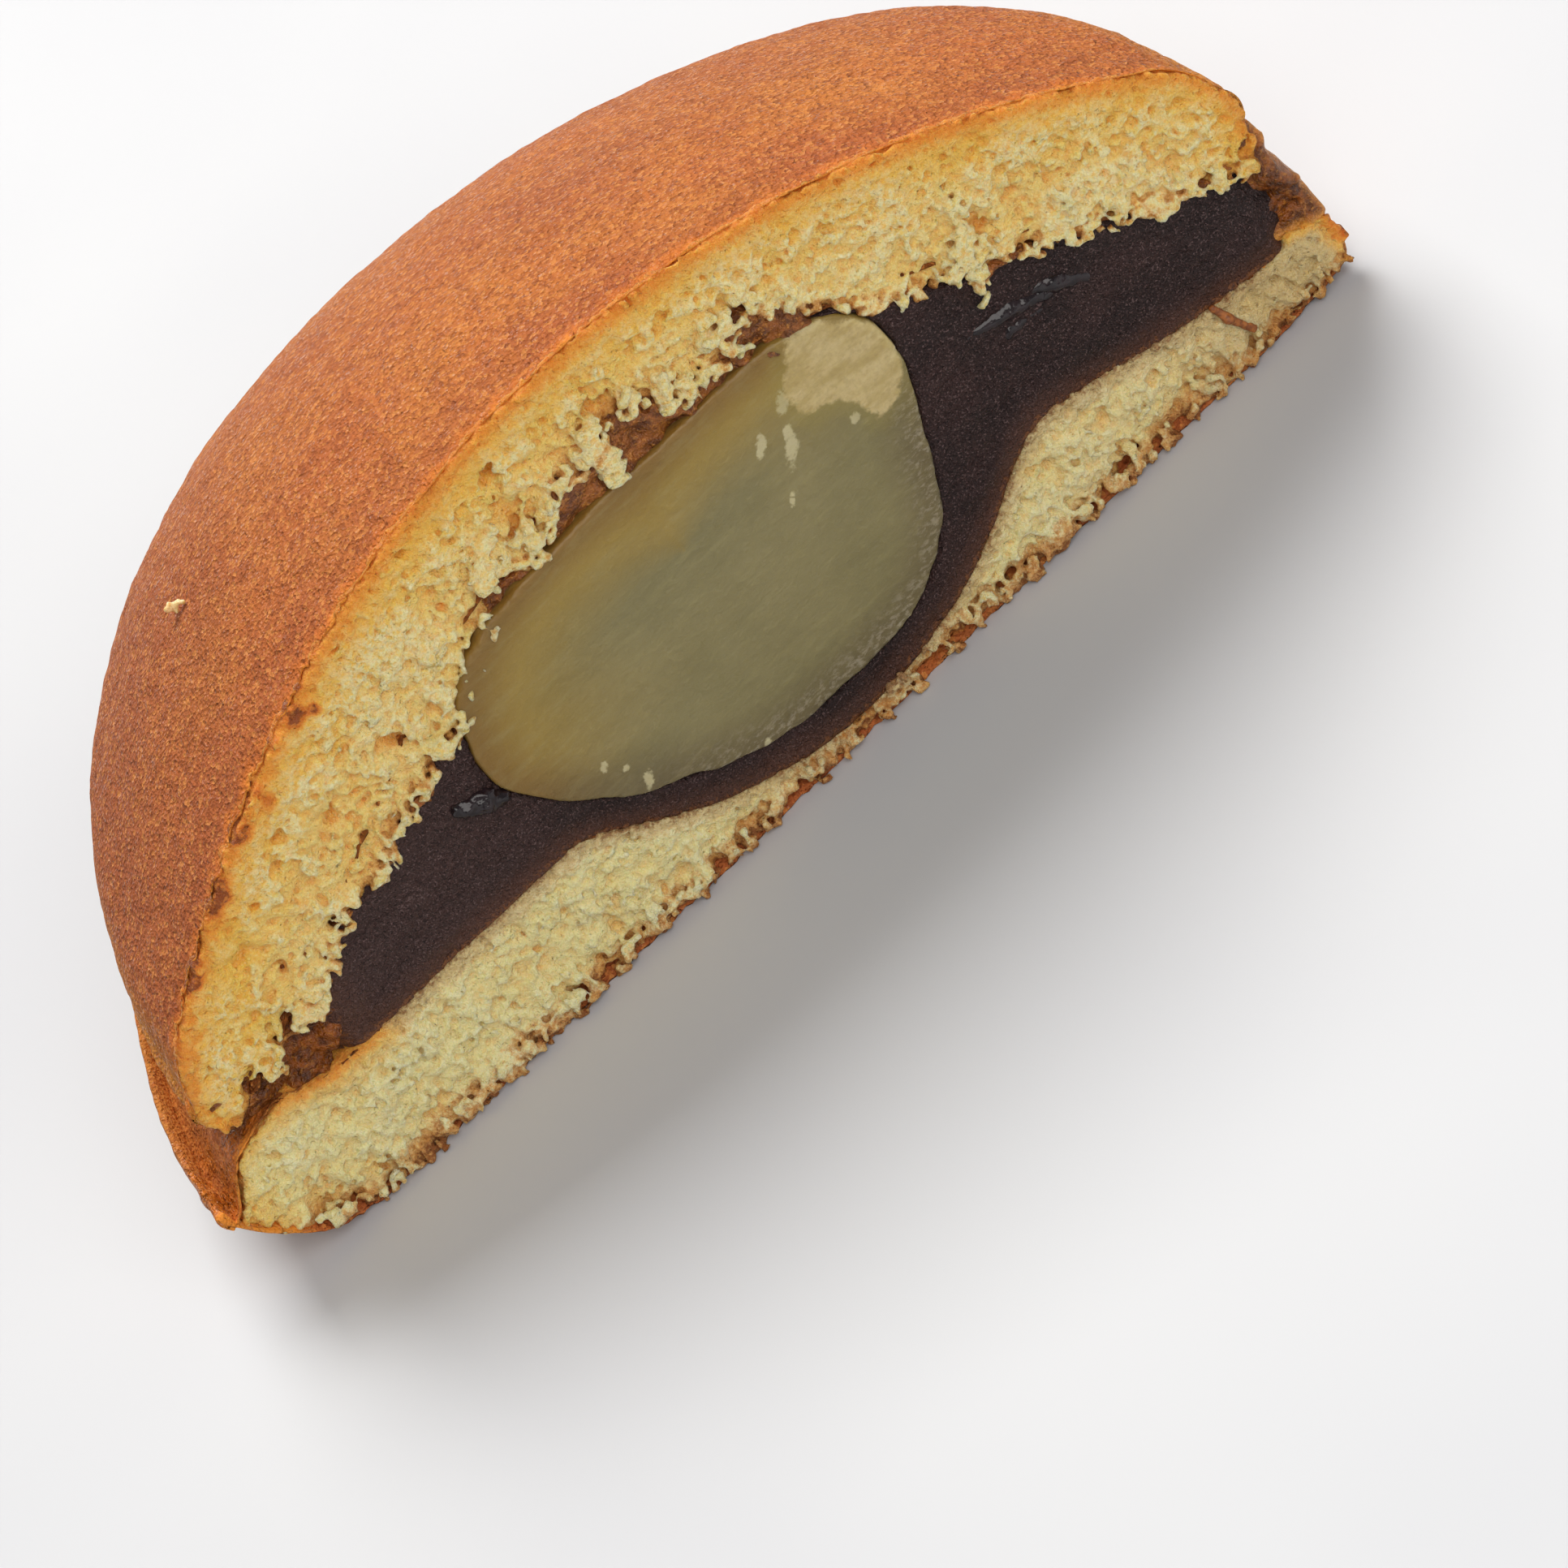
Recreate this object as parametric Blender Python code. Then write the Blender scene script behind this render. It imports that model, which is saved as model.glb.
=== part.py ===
"""Half of a dorayaki, cut across its middle and lying flat: a top cake, bean paste, a candied chestnut
and a bottom cake.

+X runs along the cut, +Y from the cut face to the round back, and +Z up. X = 0 is the middle of the top cake.
"""

import math

import bmesh
import bpy
from mathutils import Matrix, Vector, noise

MM = 0.001

# Top cake: a dome that ends in a short wall at its rim, hollowed from below by a vault
TOP_RADIUS = 41.8 * MM
TOP_CENTRE = 0.9 * MM
TOP_DEPTH = 45.2 * MM
TOP_BULGE = 0.7 * MM
DOME_FOOT = 8.6 * MM
DOME_RISE = 27.8 * MM
DOME_LENGTH = 50.5 * MM
DOME_DEPTH = 51.2 * MM
DOME_CENTRE = 1.9 * MM
DOME_BEHIND_CUT = 0.9 * MM
DOME_ROUND = 0.894
VAULT_FOOT = 8.6 * MM
VAULT_RISE = 20.2 * MM
VAULT_LENGTH = 60.0 * MM
VAULT_DEPTH = 62.0 * MM
VAULT_CENTRE = 1.7 * MM
VAULT_ROUND = 2.9

# Bottom cake: flat below with a rim that curls up, thick at the left and thin at the right of the cut
BOTTOM_RADIUS = 43.7 * MM
BOTTOM_DEPTH = 45.6 * MM
BOTTOM_CENTRE = -0.8 * MM
BOTTOM_BULGE = 0.5 * MM
LEFT_LEVEL = 9.8 * MM
RIGHT_LEVEL = 4.8 * MM
LEVEL_FALLS_FROM = 14.0 * MM
LEVEL_FALLS_TO = 41.0 * MM
MARGIN_GAP = 0.5 * MM
LEFT_MARGIN = (0.74, 0.92)
RIGHT_MARGIN = (0.90, 0.985)
LEFT_DROOP = 2.8 * MM
RIGHT_DROOP = 1.2 * MM
LEFT_CURL = 6.8 * MM
RIGHT_CURL = 0.9 * MM
CURL_STARTS = 0.80
CURL_POWER = 2.4
NOTCH_DEPTH = 6.0 * MM
NOTCH_STARTS = 0.70
NOTCH_FULL = 0.85

# Nest pressed into the bottom cake under the chestnut
NEST_FLOOR = 2.4 * MM
NEST_RISE = 15.0 * MM
NEST_LENGTH = 20.0 * MM
NEST_DEPTH = 18.5 * MM
NEST_CENTRE = 4.3 * MM
NEST_BLEND = 3.5 * MM

# Bean paste: what lies between the two cakes, short of their rims
PASTE_RADIUS = 36.2 * MM
PASTE_DEPTH = 33.0 * MM
PASTE_CENTRE = 3.8 * MM
PASTE_BULGE = 1.0 * MM
PASTE_GAP = 0.6 * MM
PASTE_SET_BACK = 0.25 * MM
PASTE_RELIEF = 0.15 * MM

# Chestnut: an egg on its side, deep below its widest level and flat above it
CHESTNUT_CENTRE = 1.9 * MM
CHESTNUT_LEVEL = 19.8 * MM
CHESTNUT_HALF_LENGTH = 17.1 * MM
CHESTNUT_DEPTH = 15.5 * MM
CHESTNUT_UP = 6.9 * MM
CHESTNUT_DOWN = 15.8 * MM
CHESTNUT_UP_POWER = 2.8
CHESTNUT_DOWN_POWER = 2.05

# The whole leans: fuller at its back left than at its back right, with a round shoulder there
LEAN = 0.113
SHOULDER = 0.05
SHOULDER_CENTRE = (-21.0 * MM, 26.0 * MM)
SHOULDER_WIDTH = 15.0 * MM

# Gap between neighbouring pieces, and the roughness of the cut
GAP = 0.4 * MM
CRUMB_RELIEF = 0.42 * MM
CRUMB_GRAIN = 1.5 * MM
RAGGED_EDGE = 0.9 * MM
RAGGED_GRAIN = 2.2 * MM
CHIP_PLACES = (-27.6 * MM, -21.8 * MM, -19.4 * MM)
CHIP_WIDTH = 0.9 * MM
CHIP_DEPTH = 0.9 * MM
SURFACE_WAVE = 0.25 * MM
SURFACE_GRAIN = 13.0 * MM

# Cells along the cut, from the cut to the back, and from underside to upper side
TOP_CELLS = (42, 10, 4)
BOTTOM_CELLS = (42, 11, 3)
PASTE_CELLS = (38, 13, 2)
FRONT_CUTS = 2
EGG_SEGMENTS = 36
EGG_RINGS = 22

CRUST = (0.47, 0.16, 0.055)
PALE_CRUST = (0.52, 0.24, 0.08)
PASTE = (0.055, 0.033, 0.03)
CHESTNUT = (0.30, 0.26, 0.11)


def clamp(value, low=0.0, high=1.0):
    return max(low, min(high, value))


def step(value, start, end):
    """0 before start, 1 after end, and an even slope between."""
    t = clamp((value - start) / (end - start))
    return t * t * (3 - 2 * t)


def mix(a, b, share):
    return a + (b - a) * share


def smooth_min(a, b, blend):
    share = clamp(0.5 + (b - a) / (2 * blend))
    return mix(b, a, share) - blend * share * (1 - share)


def span(x, y, centre, length, depth):
    """How far out (x, y) lies in a half ellipse: 0 at its centre, 1 at its rim."""
    return math.hypot((x - centre) / length, y / depth)


def wave(x, y, shift):
    """Slow unevenness of a baked surface."""
    return SURFACE_WAVE * noise.noise(Vector((x, y, shift)) / SURFACE_GRAIN)


def dome(x, y):
    """Height of the top cake's crust."""
    inside = 1 - span(x, y - DOME_BEHIND_CUT, DOME_CENTRE, DOME_LENGTH, DOME_DEPTH) ** 2
    return DOME_FOOT + DOME_RISE * clamp(inside) ** DOME_ROUND + wave(x, y, 1.0)


def vault(x, y):
    """Height of the top cake's underside."""
    inside = 1 - span(x, y, VAULT_CENTRE, VAULT_LENGTH, VAULT_DEPTH) ** 2
    return VAULT_FOOT + VAULT_RISE * clamp(inside) ** VAULT_ROUND


def bowl(x, y):
    """Height of the bottom cake's upper side: its level, the nest, and the rim that meets the top cake."""
    level = mix(LEFT_LEVEL, RIGHT_LEVEL, step(x, LEVEL_FALLS_FROM, LEVEL_FALLS_TO))
    out = clamp(span(x, y, NEST_CENTRE, NEST_LENGTH, NEST_DEPTH))
    nest = NEST_FLOOR + NEST_RISE * (1 - math.sqrt(1 - out * out))
    inner = smooth_min(level, nest, NEST_BLEND)
    rim = span(x, y, BOTTOM_CENTRE, BOTTOM_RADIUS, BOTTOM_DEPTH)
    left = step(-x, -0.3 * BOTTOM_RADIUS, 0.9 * BOTTOM_RADIUS)
    starts, full = (mix(at_right, at_left, left) for at_right, at_left in zip(RIGHT_MARGIN, LEFT_MARGIN))
    margin = vault(x, y) - MARGIN_GAP - mix(RIGHT_DROOP, LEFT_DROOP, left) * step(rim, full, 1.0)
    notch = step(x / BOTTOM_RADIUS, NOTCH_STARTS, NOTCH_FULL) * (1 - step(y, 0, NOTCH_DEPTH))
    return mix(inner, margin, step(rim, starts, full) * (1 - notch))


def sole(x, y):
    """Height of the bottom cake's underside."""
    rim = span(x, y, BOTTOM_CENTRE, BOTTOM_RADIUS, BOTTOM_DEPTH)
    curl = mix(RIGHT_CURL, LEFT_CURL, step(BOTTOM_CENTRE - x, -BOTTOM_RADIUS, BOTTOM_RADIUS))
    return curl * clamp((rim - CURL_STARTS) / (1 - CURL_STARTS)) ** CURL_POWER


def lean(point):
    """The lean and the shoulder raise a place in proportion to its height, so pieces stay clear."""
    share = 1 - LEAN * point.x * point.y / (TOP_RADIUS * TOP_DEPTH)
    away = math.hypot(point.x - SHOULDER_CENTRE[0], point.y - SHOULDER_CENTRE[1]) / SHOULDER_WIDTH
    return Vector((point.x, point.y, point.z * (share + SHOULDER * math.exp(-away * away))))


def block(cells, front_cuts):
    """A block of 1 each way, cut into cells, with each cell of its front face cut again."""
    bm = bmesh.new()
    bmesh.ops.create_cube(bm, size=1.0)
    for axis, count in enumerate(cells):
        along = [edge for edge in bm.edges if abs(edge.verts[0].co[axis] - edge.verts[1].co[axis]) > 0.5]
        bmesh.ops.subdivide_edges(bm, edges=along, cuts=count - 1, use_grid_fill=True)
    if front_cuts:
        front = [edge for edge in bm.edges if all(on_front(vert) for vert in edge.verts)]
        bmesh.ops.subdivide_edges(bm, edges=front, cuts=front_cuts, use_grid_fill=True)
    return bm


def on_front(vert):
    return vert.co.y < -0.499


def half_disc(u, v, radius, depth):
    """Maps u in -1..1 and v in 0..1 onto a half ellipse, with closer cells at its rim."""
    u = mix(u, math.sin(u * math.pi / 2), 0.35)
    v = mix(v, step(v, 0, 1), 0.5)
    return radius * u * math.sqrt(1 - v * v / 2), depth * v * math.sqrt(1 - u * u / 2)


def layer(cells, centre, radius, depth, bulge, under, over, front_cuts, roughen):
    """A half disc between the heights under(x, y) and over(x, y), with a round rim and a roughened cut."""
    bm = block(cells, front_cuts)
    for vert in bm.verts:
        u = 2 * vert.co.x
        v = vert.co.y + 0.5
        w = vert.co.z + 0.5
        x, y = half_disc(u, v, radius, depth)
        low = under(centre + x, y)
        high = over(centre + x, y)
        if abs(u) > 0.999 or v > 0.999:
            out = 1 + bulge / radius * (1 - (2 * w - 1) ** 2)
            x *= out
            y *= out
        point = Vector((centre + x, y, mix(low, high, w)))
        if v < 0.001:
            point = roughen(point, w)
        vert.co = lean(point)
    return bm


def crumb(point):
    """Depth of the torn crumb at a place on the cut."""
    coarse = noise.noise(point / CRUMB_GRAIN)
    fine = noise.noise(point / (0.45 * CRUMB_GRAIN) + Vector((7, 3, 5)))
    return CRUMB_RELIEF * (0.8 * coarse + 0.6 * fine)


def rough_cake(point, w):
    """Torn crumb over the whole cut, a ragged lower edge, and a few chips in the upper edge at the left."""
    torn = Vector((point.x, point.y - crumb(point), point.z))
    if w < 0.001:
        ragged = noise.noise(Vector((point.x, 0, 0)) / RAGGED_GRAIN) + 0.4 * noise.noise(point / CRUMB_GRAIN)
        torn.z += RAGGED_EDGE * clamp(ragged)
    if w > 0.999:
        chips = (math.exp(-(((point.x - place) / CHIP_WIDTH) ** 2)) for place in CHIP_PLACES)
        torn.z -= CHIP_DEPTH * sum(chips)
    return torn


def rough_paste(point, _):
    return Vector((point.x, PASTE_SET_BACK + PASTE_RELIEF * noise.noise(point / CRUMB_GRAIN), point.z))


def egg(grow, up, front):
    """The chestnut's form behind the plane y = front, grown by grow, and up high above its widest level."""
    bm = bmesh.new()
    bmesh.ops.create_uvsphere(bm, u_segments=EGG_SEGMENTS, v_segments=EGG_RINGS, radius=1.0)
    for vert in bm.verts:
        side = math.hypot(vert.co.x, vert.co.y)
        power = CHESTNUT_UP_POWER if vert.co.z > 0 else CHESTNUT_DOWN_POWER
        out = (side**power + abs(vert.co.z) ** power) ** (-1 / power)
        height = up if vert.co.z > 0 else CHESTNUT_DOWN + grow
        vert.co.x = CHESTNUT_CENTRE + vert.co.x * out * (CHESTNUT_HALF_LENGTH + grow)
        vert.co.y *= out * (CHESTNUT_DEPTH + grow)
        vert.co.z = CHESTNUT_LEVEL + vert.co.z * out * height
    everything = bm.verts[:] + bm.edges[:] + bm.faces[:]
    bmesh.ops.bisect_plane(bm, geom=everything, plane_co=(0, front, 0), plane_no=(0, -1, 0), clear_outer=True)
    bmesh.ops.holes_fill(bm, edges=[edge for edge in bm.edges if edge.is_boundary], sides=0)
    for vert in bm.verts:
        vert.co = lean(vert.co)
    return bm


def add(name, bm, collection, colour, roughness):
    """Makes an object of a mesh, with its own material."""
    bmesh.ops.recalc_face_normals(bm, faces=bm.faces)
    bmesh.ops.triangulate(bm, faces=bm.faces)
    mesh = bpy.data.meshes.new(name)
    bm.to_mesh(mesh)
    bm.free()
    obj = bpy.data.objects.new(name, mesh)
    collection.objects.link(obj)
    material = bpy.data.materials.new(name)
    material.use_nodes = True
    shader = material.node_tree.nodes["Principled BSDF"]
    shader.inputs["Base Color"].default_value = (*colour, 1)
    shader.inputs["Roughness"].default_value = roughness
    mesh.materials.append(material)
    mesh.shade_smooth()
    mesh.set_sharp_from_angle(angle=math.radians(40))
    return obj


def cut_from(obj, cutter):
    """Takes the cutter's shape out of the object."""
    cutter.hide_render = True
    cutter.display_type = "WIRE"
    boolean = obj.modifiers.new("room_for_" + cutter.name, "BOOLEAN")
    boolean.object = cutter
    boolean.operation = "DIFFERENCE"
    boolean.solver = "EXACT"


def set_down(parts, everything):
    """Moves everything so that the middle of the parts' base is at the origin."""
    corners = [vert.co for obj in parts for vert in obj.data.vertices]
    low = [min(corner[axis] for corner in corners) for axis in range(3)]
    high = [max(corner[axis] for corner in corners) for axis in range(3)]
    shift = Vector((-(low[0] + high[0]) / 2, -(low[1] + high[1]) / 2, -low[2]))
    for obj in everything:
        obj.data.transform(Matrix.Translation(shift))


def build():
    for obj in list(bpy.data.objects):
        bpy.data.objects.remove(obj)
    parts = bpy.data.collections.new("dorayaki")
    cutters = bpy.data.collections.new("cutters")
    for collection in (parts, cutters):
        bpy.context.scene.collection.children.link(collection)

    top = layer(
        TOP_CELLS,
        TOP_CENTRE,
        TOP_RADIUS,
        TOP_DEPTH,
        TOP_BULGE,
        vault,
        dome,
        FRONT_CUTS,
        rough_cake,
    )
    bottom = layer(
        BOTTOM_CELLS,
        BOTTOM_CENTRE,
        BOTTOM_RADIUS,
        BOTTOM_DEPTH,
        BOTTOM_BULGE,
        sole,
        bowl,
        FRONT_CUTS,
        rough_cake,
    )
    paste = layer(
        PASTE_CELLS,
        PASTE_CENTRE,
        PASTE_RADIUS,
        PASTE_DEPTH,
        PASTE_BULGE,
        lambda x, y: bowl(x, y) + PASTE_GAP,
        lambda x, y: vault(x, y) - GAP,
        0,
        rough_paste,
    )
    solids = [
        add("cake_top", top, parts, CRUST, 0.5),
        add("cake_bottom", bottom, parts, PALE_CRUST, 0.6),
        add("bean_paste", paste, parts, PASTE, 0.4),
        add("chestnut", egg(0, CHESTNUT_UP, 0), parts, CHESTNUT, 0.3),
    ]
    well = add("chestnut_well", egg(GAP, 3 * CHESTNUT_UP, -CHESTNUT_DEPTH), cutters, CHESTNUT, 0.5)
    cut_from(solids[2], well)
    set_down(solids, [*solids, well])


build()
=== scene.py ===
"""The looks of half a dorayaki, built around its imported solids.

Shapes are worked out in millimetres on the food's own axes, as in the solids' source: X along the cut,
Y from the cut to the round back, Z up. The torn crumb of the cut comes from fields of distances that are
turned into meshes, the crusts and the paste from bent blocks. `make` moves each piece into the frame.
"""

import math

import bpy
import numpy as np
import openvdb as vdb
from mathutils import Matrix, Vector


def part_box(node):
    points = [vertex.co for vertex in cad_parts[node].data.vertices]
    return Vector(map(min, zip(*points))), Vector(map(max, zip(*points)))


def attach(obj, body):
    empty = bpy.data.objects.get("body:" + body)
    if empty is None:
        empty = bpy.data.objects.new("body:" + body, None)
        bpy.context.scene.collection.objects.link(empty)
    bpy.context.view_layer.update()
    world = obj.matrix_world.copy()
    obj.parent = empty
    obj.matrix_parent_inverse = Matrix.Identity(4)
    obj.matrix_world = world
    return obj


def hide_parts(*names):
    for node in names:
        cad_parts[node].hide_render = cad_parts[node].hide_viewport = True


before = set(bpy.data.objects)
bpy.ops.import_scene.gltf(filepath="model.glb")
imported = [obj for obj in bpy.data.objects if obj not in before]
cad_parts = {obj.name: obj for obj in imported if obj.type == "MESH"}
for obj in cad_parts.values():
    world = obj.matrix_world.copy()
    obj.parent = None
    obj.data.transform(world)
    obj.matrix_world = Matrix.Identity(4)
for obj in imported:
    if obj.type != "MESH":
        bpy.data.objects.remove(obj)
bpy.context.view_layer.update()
MM = 0.001

# Forms that the solids share, in millimetres
TOP_RADIUS = 41.8
TOP_CENTRE = 0.9
TOP_DEPTH = 45.2
TOP_BULGE = 0.7
DOME_FOOT = 8.6
DOME_RISE = 27.8
DOME_LENGTH = 50.5
DOME_DEPTH = 51.2
DOME_CENTRE = 1.9
DOME_BEHIND_CUT = 0.9
DOME_ROUND = 0.894
VAULT_FOOT = 8.6
VAULT_RISE = 20.2
VAULT_LENGTH = 60.0
VAULT_DEPTH = 62.0
VAULT_CENTRE = 1.7
VAULT_ROUND = 2.9
BOTTOM_RADIUS = 43.7
BOTTOM_DEPTH = 45.6
BOTTOM_CENTRE = -0.8
BOTTOM_BULGE = 0.5
LEFT_LEVEL = 9.8
RIGHT_LEVEL = 4.8
LEVEL_FALLS_FROM = 14.0
LEVEL_FALLS_TO = 41.0
MARGIN_GAP = 0.5
LEFT_MARGIN = (0.74, 0.92)
RIGHT_MARGIN = (0.90, 0.985)
LEFT_DROOP = 2.8
RIGHT_DROOP = 1.2
LEFT_CURL = 6.8
RIGHT_CURL = 0.9
CURL_STARTS = 0.80
CURL_POWER = 2.4
NOTCH_DEPTH = 6.0
NOTCH_STARTS = 0.70
NOTCH_FULL = 0.85
NEST_FLOOR = 2.4
NEST_RISE = 15.0
NEST_LENGTH = 20.0
NEST_DEPTH = 18.5
NEST_CENTRE = 4.3
NEST_BLEND = 3.5
PASTE_RADIUS = 36.2
PASTE_DEPTH = 33.0
PASTE_CENTRE = 3.8
CHESTNUT_CENTRE = 1.9
CHESTNUT_LEVEL = 19.8
CHESTNUT_HALF_LENGTH = 17.1
CHESTNUT_DEPTH = 15.5
CHESTNUT_UP = 6.9
CHESTNUT_DOWN = 15.8
CHESTNUT_UP_POWER = 3.4
CHESTNUT_DOWN_POWER = 2.05
LEAN = 0.113
SHOULDER = 0.05
SHOULDER_CENTRE = (-21.0, 26.0)
SHOULDER_WIDTH = 15.0
TOP_ROUNDING = 2.4
UNDER_ROUNDING = 1.6
BOTTOM_ROUNDING = 1.4

# The bed that the paste lies in, and the browned underside's rounded rim
BED_SINKS = 0.75
BED_CENTRE = 3.5
BED_WIDTH = 13.0
SOLE_ROUNDING = 1.2

# The camera, in millimetres on the food's axes
ELEVATION = math.radians(40)
AZIMUTH = -0.012
ROLL = math.radians(43.5)
DISTANCE = 531.6
AIM = (-1.02, -1.68)
AIM_BEHIND = 4.2
WIDTH_AT_AIM = 92.58

chestnut_low, chestnut_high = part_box("chestnut")
SHIFT = Vector(((chestnut_low.x + chestnut_high.x) / 2 - CHESTNUT_CENTRE * MM, chestnut_low.y, 0))


# ---------------------------------------------------------------- numbers and noise


def step(value, start, end):
    """0 before start, 1 after end, and a smooth slope between."""
    t = np.clip((value - start) / (end - start), 0, 1)
    return t * t * (3 - 2 * t)


def mix(a, b, share):
    return a + (b - a) * share


def smooth_min(a, b, blend):
    share = np.clip(0.5 + (b - a) / (2 * blend), 0, 1)
    return mix(b, a, share) - blend * share * (1 - share)


def smooth_max(a, b, blend):
    return -smooth_min(-a, -b, blend)


def spline(places, grain):
    """How much each lattice point counts at each place, as cubic weights."""
    t = places / grain
    first = math.floor(t.min()) - 1
    count = math.ceil(t.max()) - first + 2
    away = np.abs(t[:, None] - first - np.arange(count)[None, :])
    near = 2 / 3 - away**2 + away**3 / 2
    far = (2 - away) ** 3 / 6
    return np.where(away < 1, near, np.where(away < 2, far, 0)).astype(np.float32)


def block_noise(axes, grain, seed):
    """Smooth noise of standard deviation 1 on a block of places. grain is one size, or one for each axis."""
    grains = np.broadcast_to(grain, 3)
    weights = [spline(axis, size) for axis, size in zip(axes, grains)]
    shape = [weight.shape[1] for weight in weights]
    field = np.random.default_rng(seed).standard_normal(shape, dtype=np.float32)
    for weight in weights:
        field = np.tensordot(field, weight, (0, 1))
    return field / field.std()


def noise(points, grain, seed):
    """Smooth noise, about -1 to 1, at points in millimetres."""
    t = points / grain
    cell = np.floor(t).astype(np.int64)
    part = t - cell
    fade = part**3 * (part * (part * 6 - 15) + 10)
    total = np.zeros(len(points))
    for corner in np.ndindex(2, 2, 2):
        at = cell + corner
        mixed = at[:, 0] * 374761393 + at[:, 1] * 668265263 + at[:, 2] * 974711719 + seed * 362437
        mixed = (mixed ^ (mixed >> 13)) * 1274126177 & 0xFFFFFFFF
        away = part - corner
        slope = sum(away[:, axis] * (((mixed >> (6 + 7 * axis)) & 127) / 63.5 - 1) for axis in range(3))
        total += slope * np.prod(np.where(corner, fade, 1 - fade), axis=1)
    return 1.6 * total


# ---------------------------------------------------------------- forms shared with the solids


def span(x, y, centre, length, depth):
    """How far out (x, y) lies in a half ellipse: 0 at its centre, 1 at its rim."""
    return np.hypot((x - centre) / length, y / depth)


def fillet(inside, radius):
    """How far a corner of that radius drops at a distance inside the rim."""
    away = np.clip(radius - inside, 0, radius)
    return radius - np.sqrt(np.maximum(radius**2 - away**2, 0))


def top_inside(x, y):
    """Distance from the top cake's rim, in plan."""
    return (1 - span(x, y, TOP_CENTRE, TOP_RADIUS, TOP_DEPTH)) * TOP_RADIUS


def bottom_inside(x, y):
    return (1 - span(x, y, BOTTOM_CENTRE, BOTTOM_RADIUS, BOTTOM_DEPTH)) * BOTTOM_RADIUS


def dome(x, y):
    """Height of the top cake's crust."""
    inside = 1 - span(x, y - DOME_BEHIND_CUT, DOME_CENTRE, DOME_LENGTH, DOME_DEPTH) ** 2
    height = DOME_FOOT + DOME_RISE * np.clip(inside, 0, 1) ** DOME_ROUND
    return height - fillet(top_inside(x, y), TOP_ROUNDING)


def bare_vault(x, y):
    inside = 1 - span(x, y, VAULT_CENTRE, VAULT_LENGTH, VAULT_DEPTH) ** 2
    return VAULT_FOOT + VAULT_RISE * np.clip(inside, 0, 1) ** VAULT_ROUND


def vault(x, y):
    """Height of the top cake's underside."""
    return bare_vault(x, y) + fillet(top_inside(x, y), UNDER_ROUNDING)


def bowl(x, y):
    """Height of the bottom cake's upper side: its level, the nest, and the rim that meets the top cake."""
    level = mix(LEFT_LEVEL, RIGHT_LEVEL, step(x, LEVEL_FALLS_FROM, LEVEL_FALLS_TO))
    out = np.clip(span(x, y, NEST_CENTRE, NEST_LENGTH, NEST_DEPTH), 0, 1)
    nest = NEST_FLOOR + NEST_RISE * (1 - np.sqrt(1 - out * out))
    inner = smooth_min(level, nest, NEST_BLEND)
    rim = span(x, y, BOTTOM_CENTRE, BOTTOM_RADIUS, BOTTOM_DEPTH)
    left = step(-x, -0.3 * BOTTOM_RADIUS, 0.9 * BOTTOM_RADIUS)
    starts, full = (mix(at_right, at_left, left) for at_right, at_left in zip(RIGHT_MARGIN, LEFT_MARGIN))
    margin = bare_vault(x, y) - MARGIN_GAP - mix(RIGHT_DROOP, LEFT_DROOP, left) * step(rim, full, 1.0)
    notch = step(x / BOTTOM_RADIUS, NOTCH_STARTS, NOTCH_FULL) * (1 - step(y, 0, NOTCH_DEPTH))
    height = mix(inner, margin, step(rim, starts, full) * (1 - notch))
    return height - fillet(bottom_inside(x, y), BOTTOM_ROUNDING) * step(height - sole(x, y), 1, 4)


def bed(x, y):
    """The bowl as the paste lies in it: a little deeper under the chestnut."""
    return bowl(x, y) - BED_SINKS * np.exp(-(((x - BED_CENTRE) / BED_WIDTH) ** 2 + (y / BED_WIDTH) ** 2))


def sole(x, y):
    """Height of the bottom cake's underside."""
    rim = span(x, y, BOTTOM_CENTRE, BOTTOM_RADIUS, BOTTOM_DEPTH)
    curl = mix(RIGHT_CURL, LEFT_CURL, step(BOTTOM_CENTRE - x, -BOTTOM_RADIUS, BOTTOM_RADIUS))
    return curl * np.clip((rim - CURL_STARTS) / (1 - CURL_STARTS), 0, 1) ** CURL_POWER


def under_side(x, y):
    """The underside with its rim rounded, as the browned surface and the crumb show it."""
    return sole(x, y) + fillet(bottom_inside(x, y), SOLE_ROUNDING)


def lean(x, y):
    """How much the lean and the shoulder raise a place, as a share of its height."""
    away = np.hypot(x - SHOULDER_CENTRE[0], y - SHOULDER_CENTRE[1]) / SHOULDER_WIDTH
    return 1 - LEAN * x * y / (TOP_RADIUS * TOP_DEPTH) + SHOULDER * np.exp(-away * away)


# How the cut chestnut's outline departs from its ovals: direction and width in degrees, and how far out
EGG_BULGES = ((303, 17, 1.0), (339, 15, -0.8), (233, 26, -1.0), (167, 14, -0.8), (190, 10, 0.4))


def egg_bulge(x, y, z):
    """How far the chestnut's outline stands out of its ovals near the cut."""
    turn = np.degrees(np.arctan2(z - CHESTNUT_LEVEL, x - CHESTNUT_CENTRE)) % 360
    total = sum(out * np.exp(-(((turn - centre) / width) ** 2)) for centre, width, out in EGG_BULGES)
    return total * (1 - step(y, 0, 8))


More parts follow.
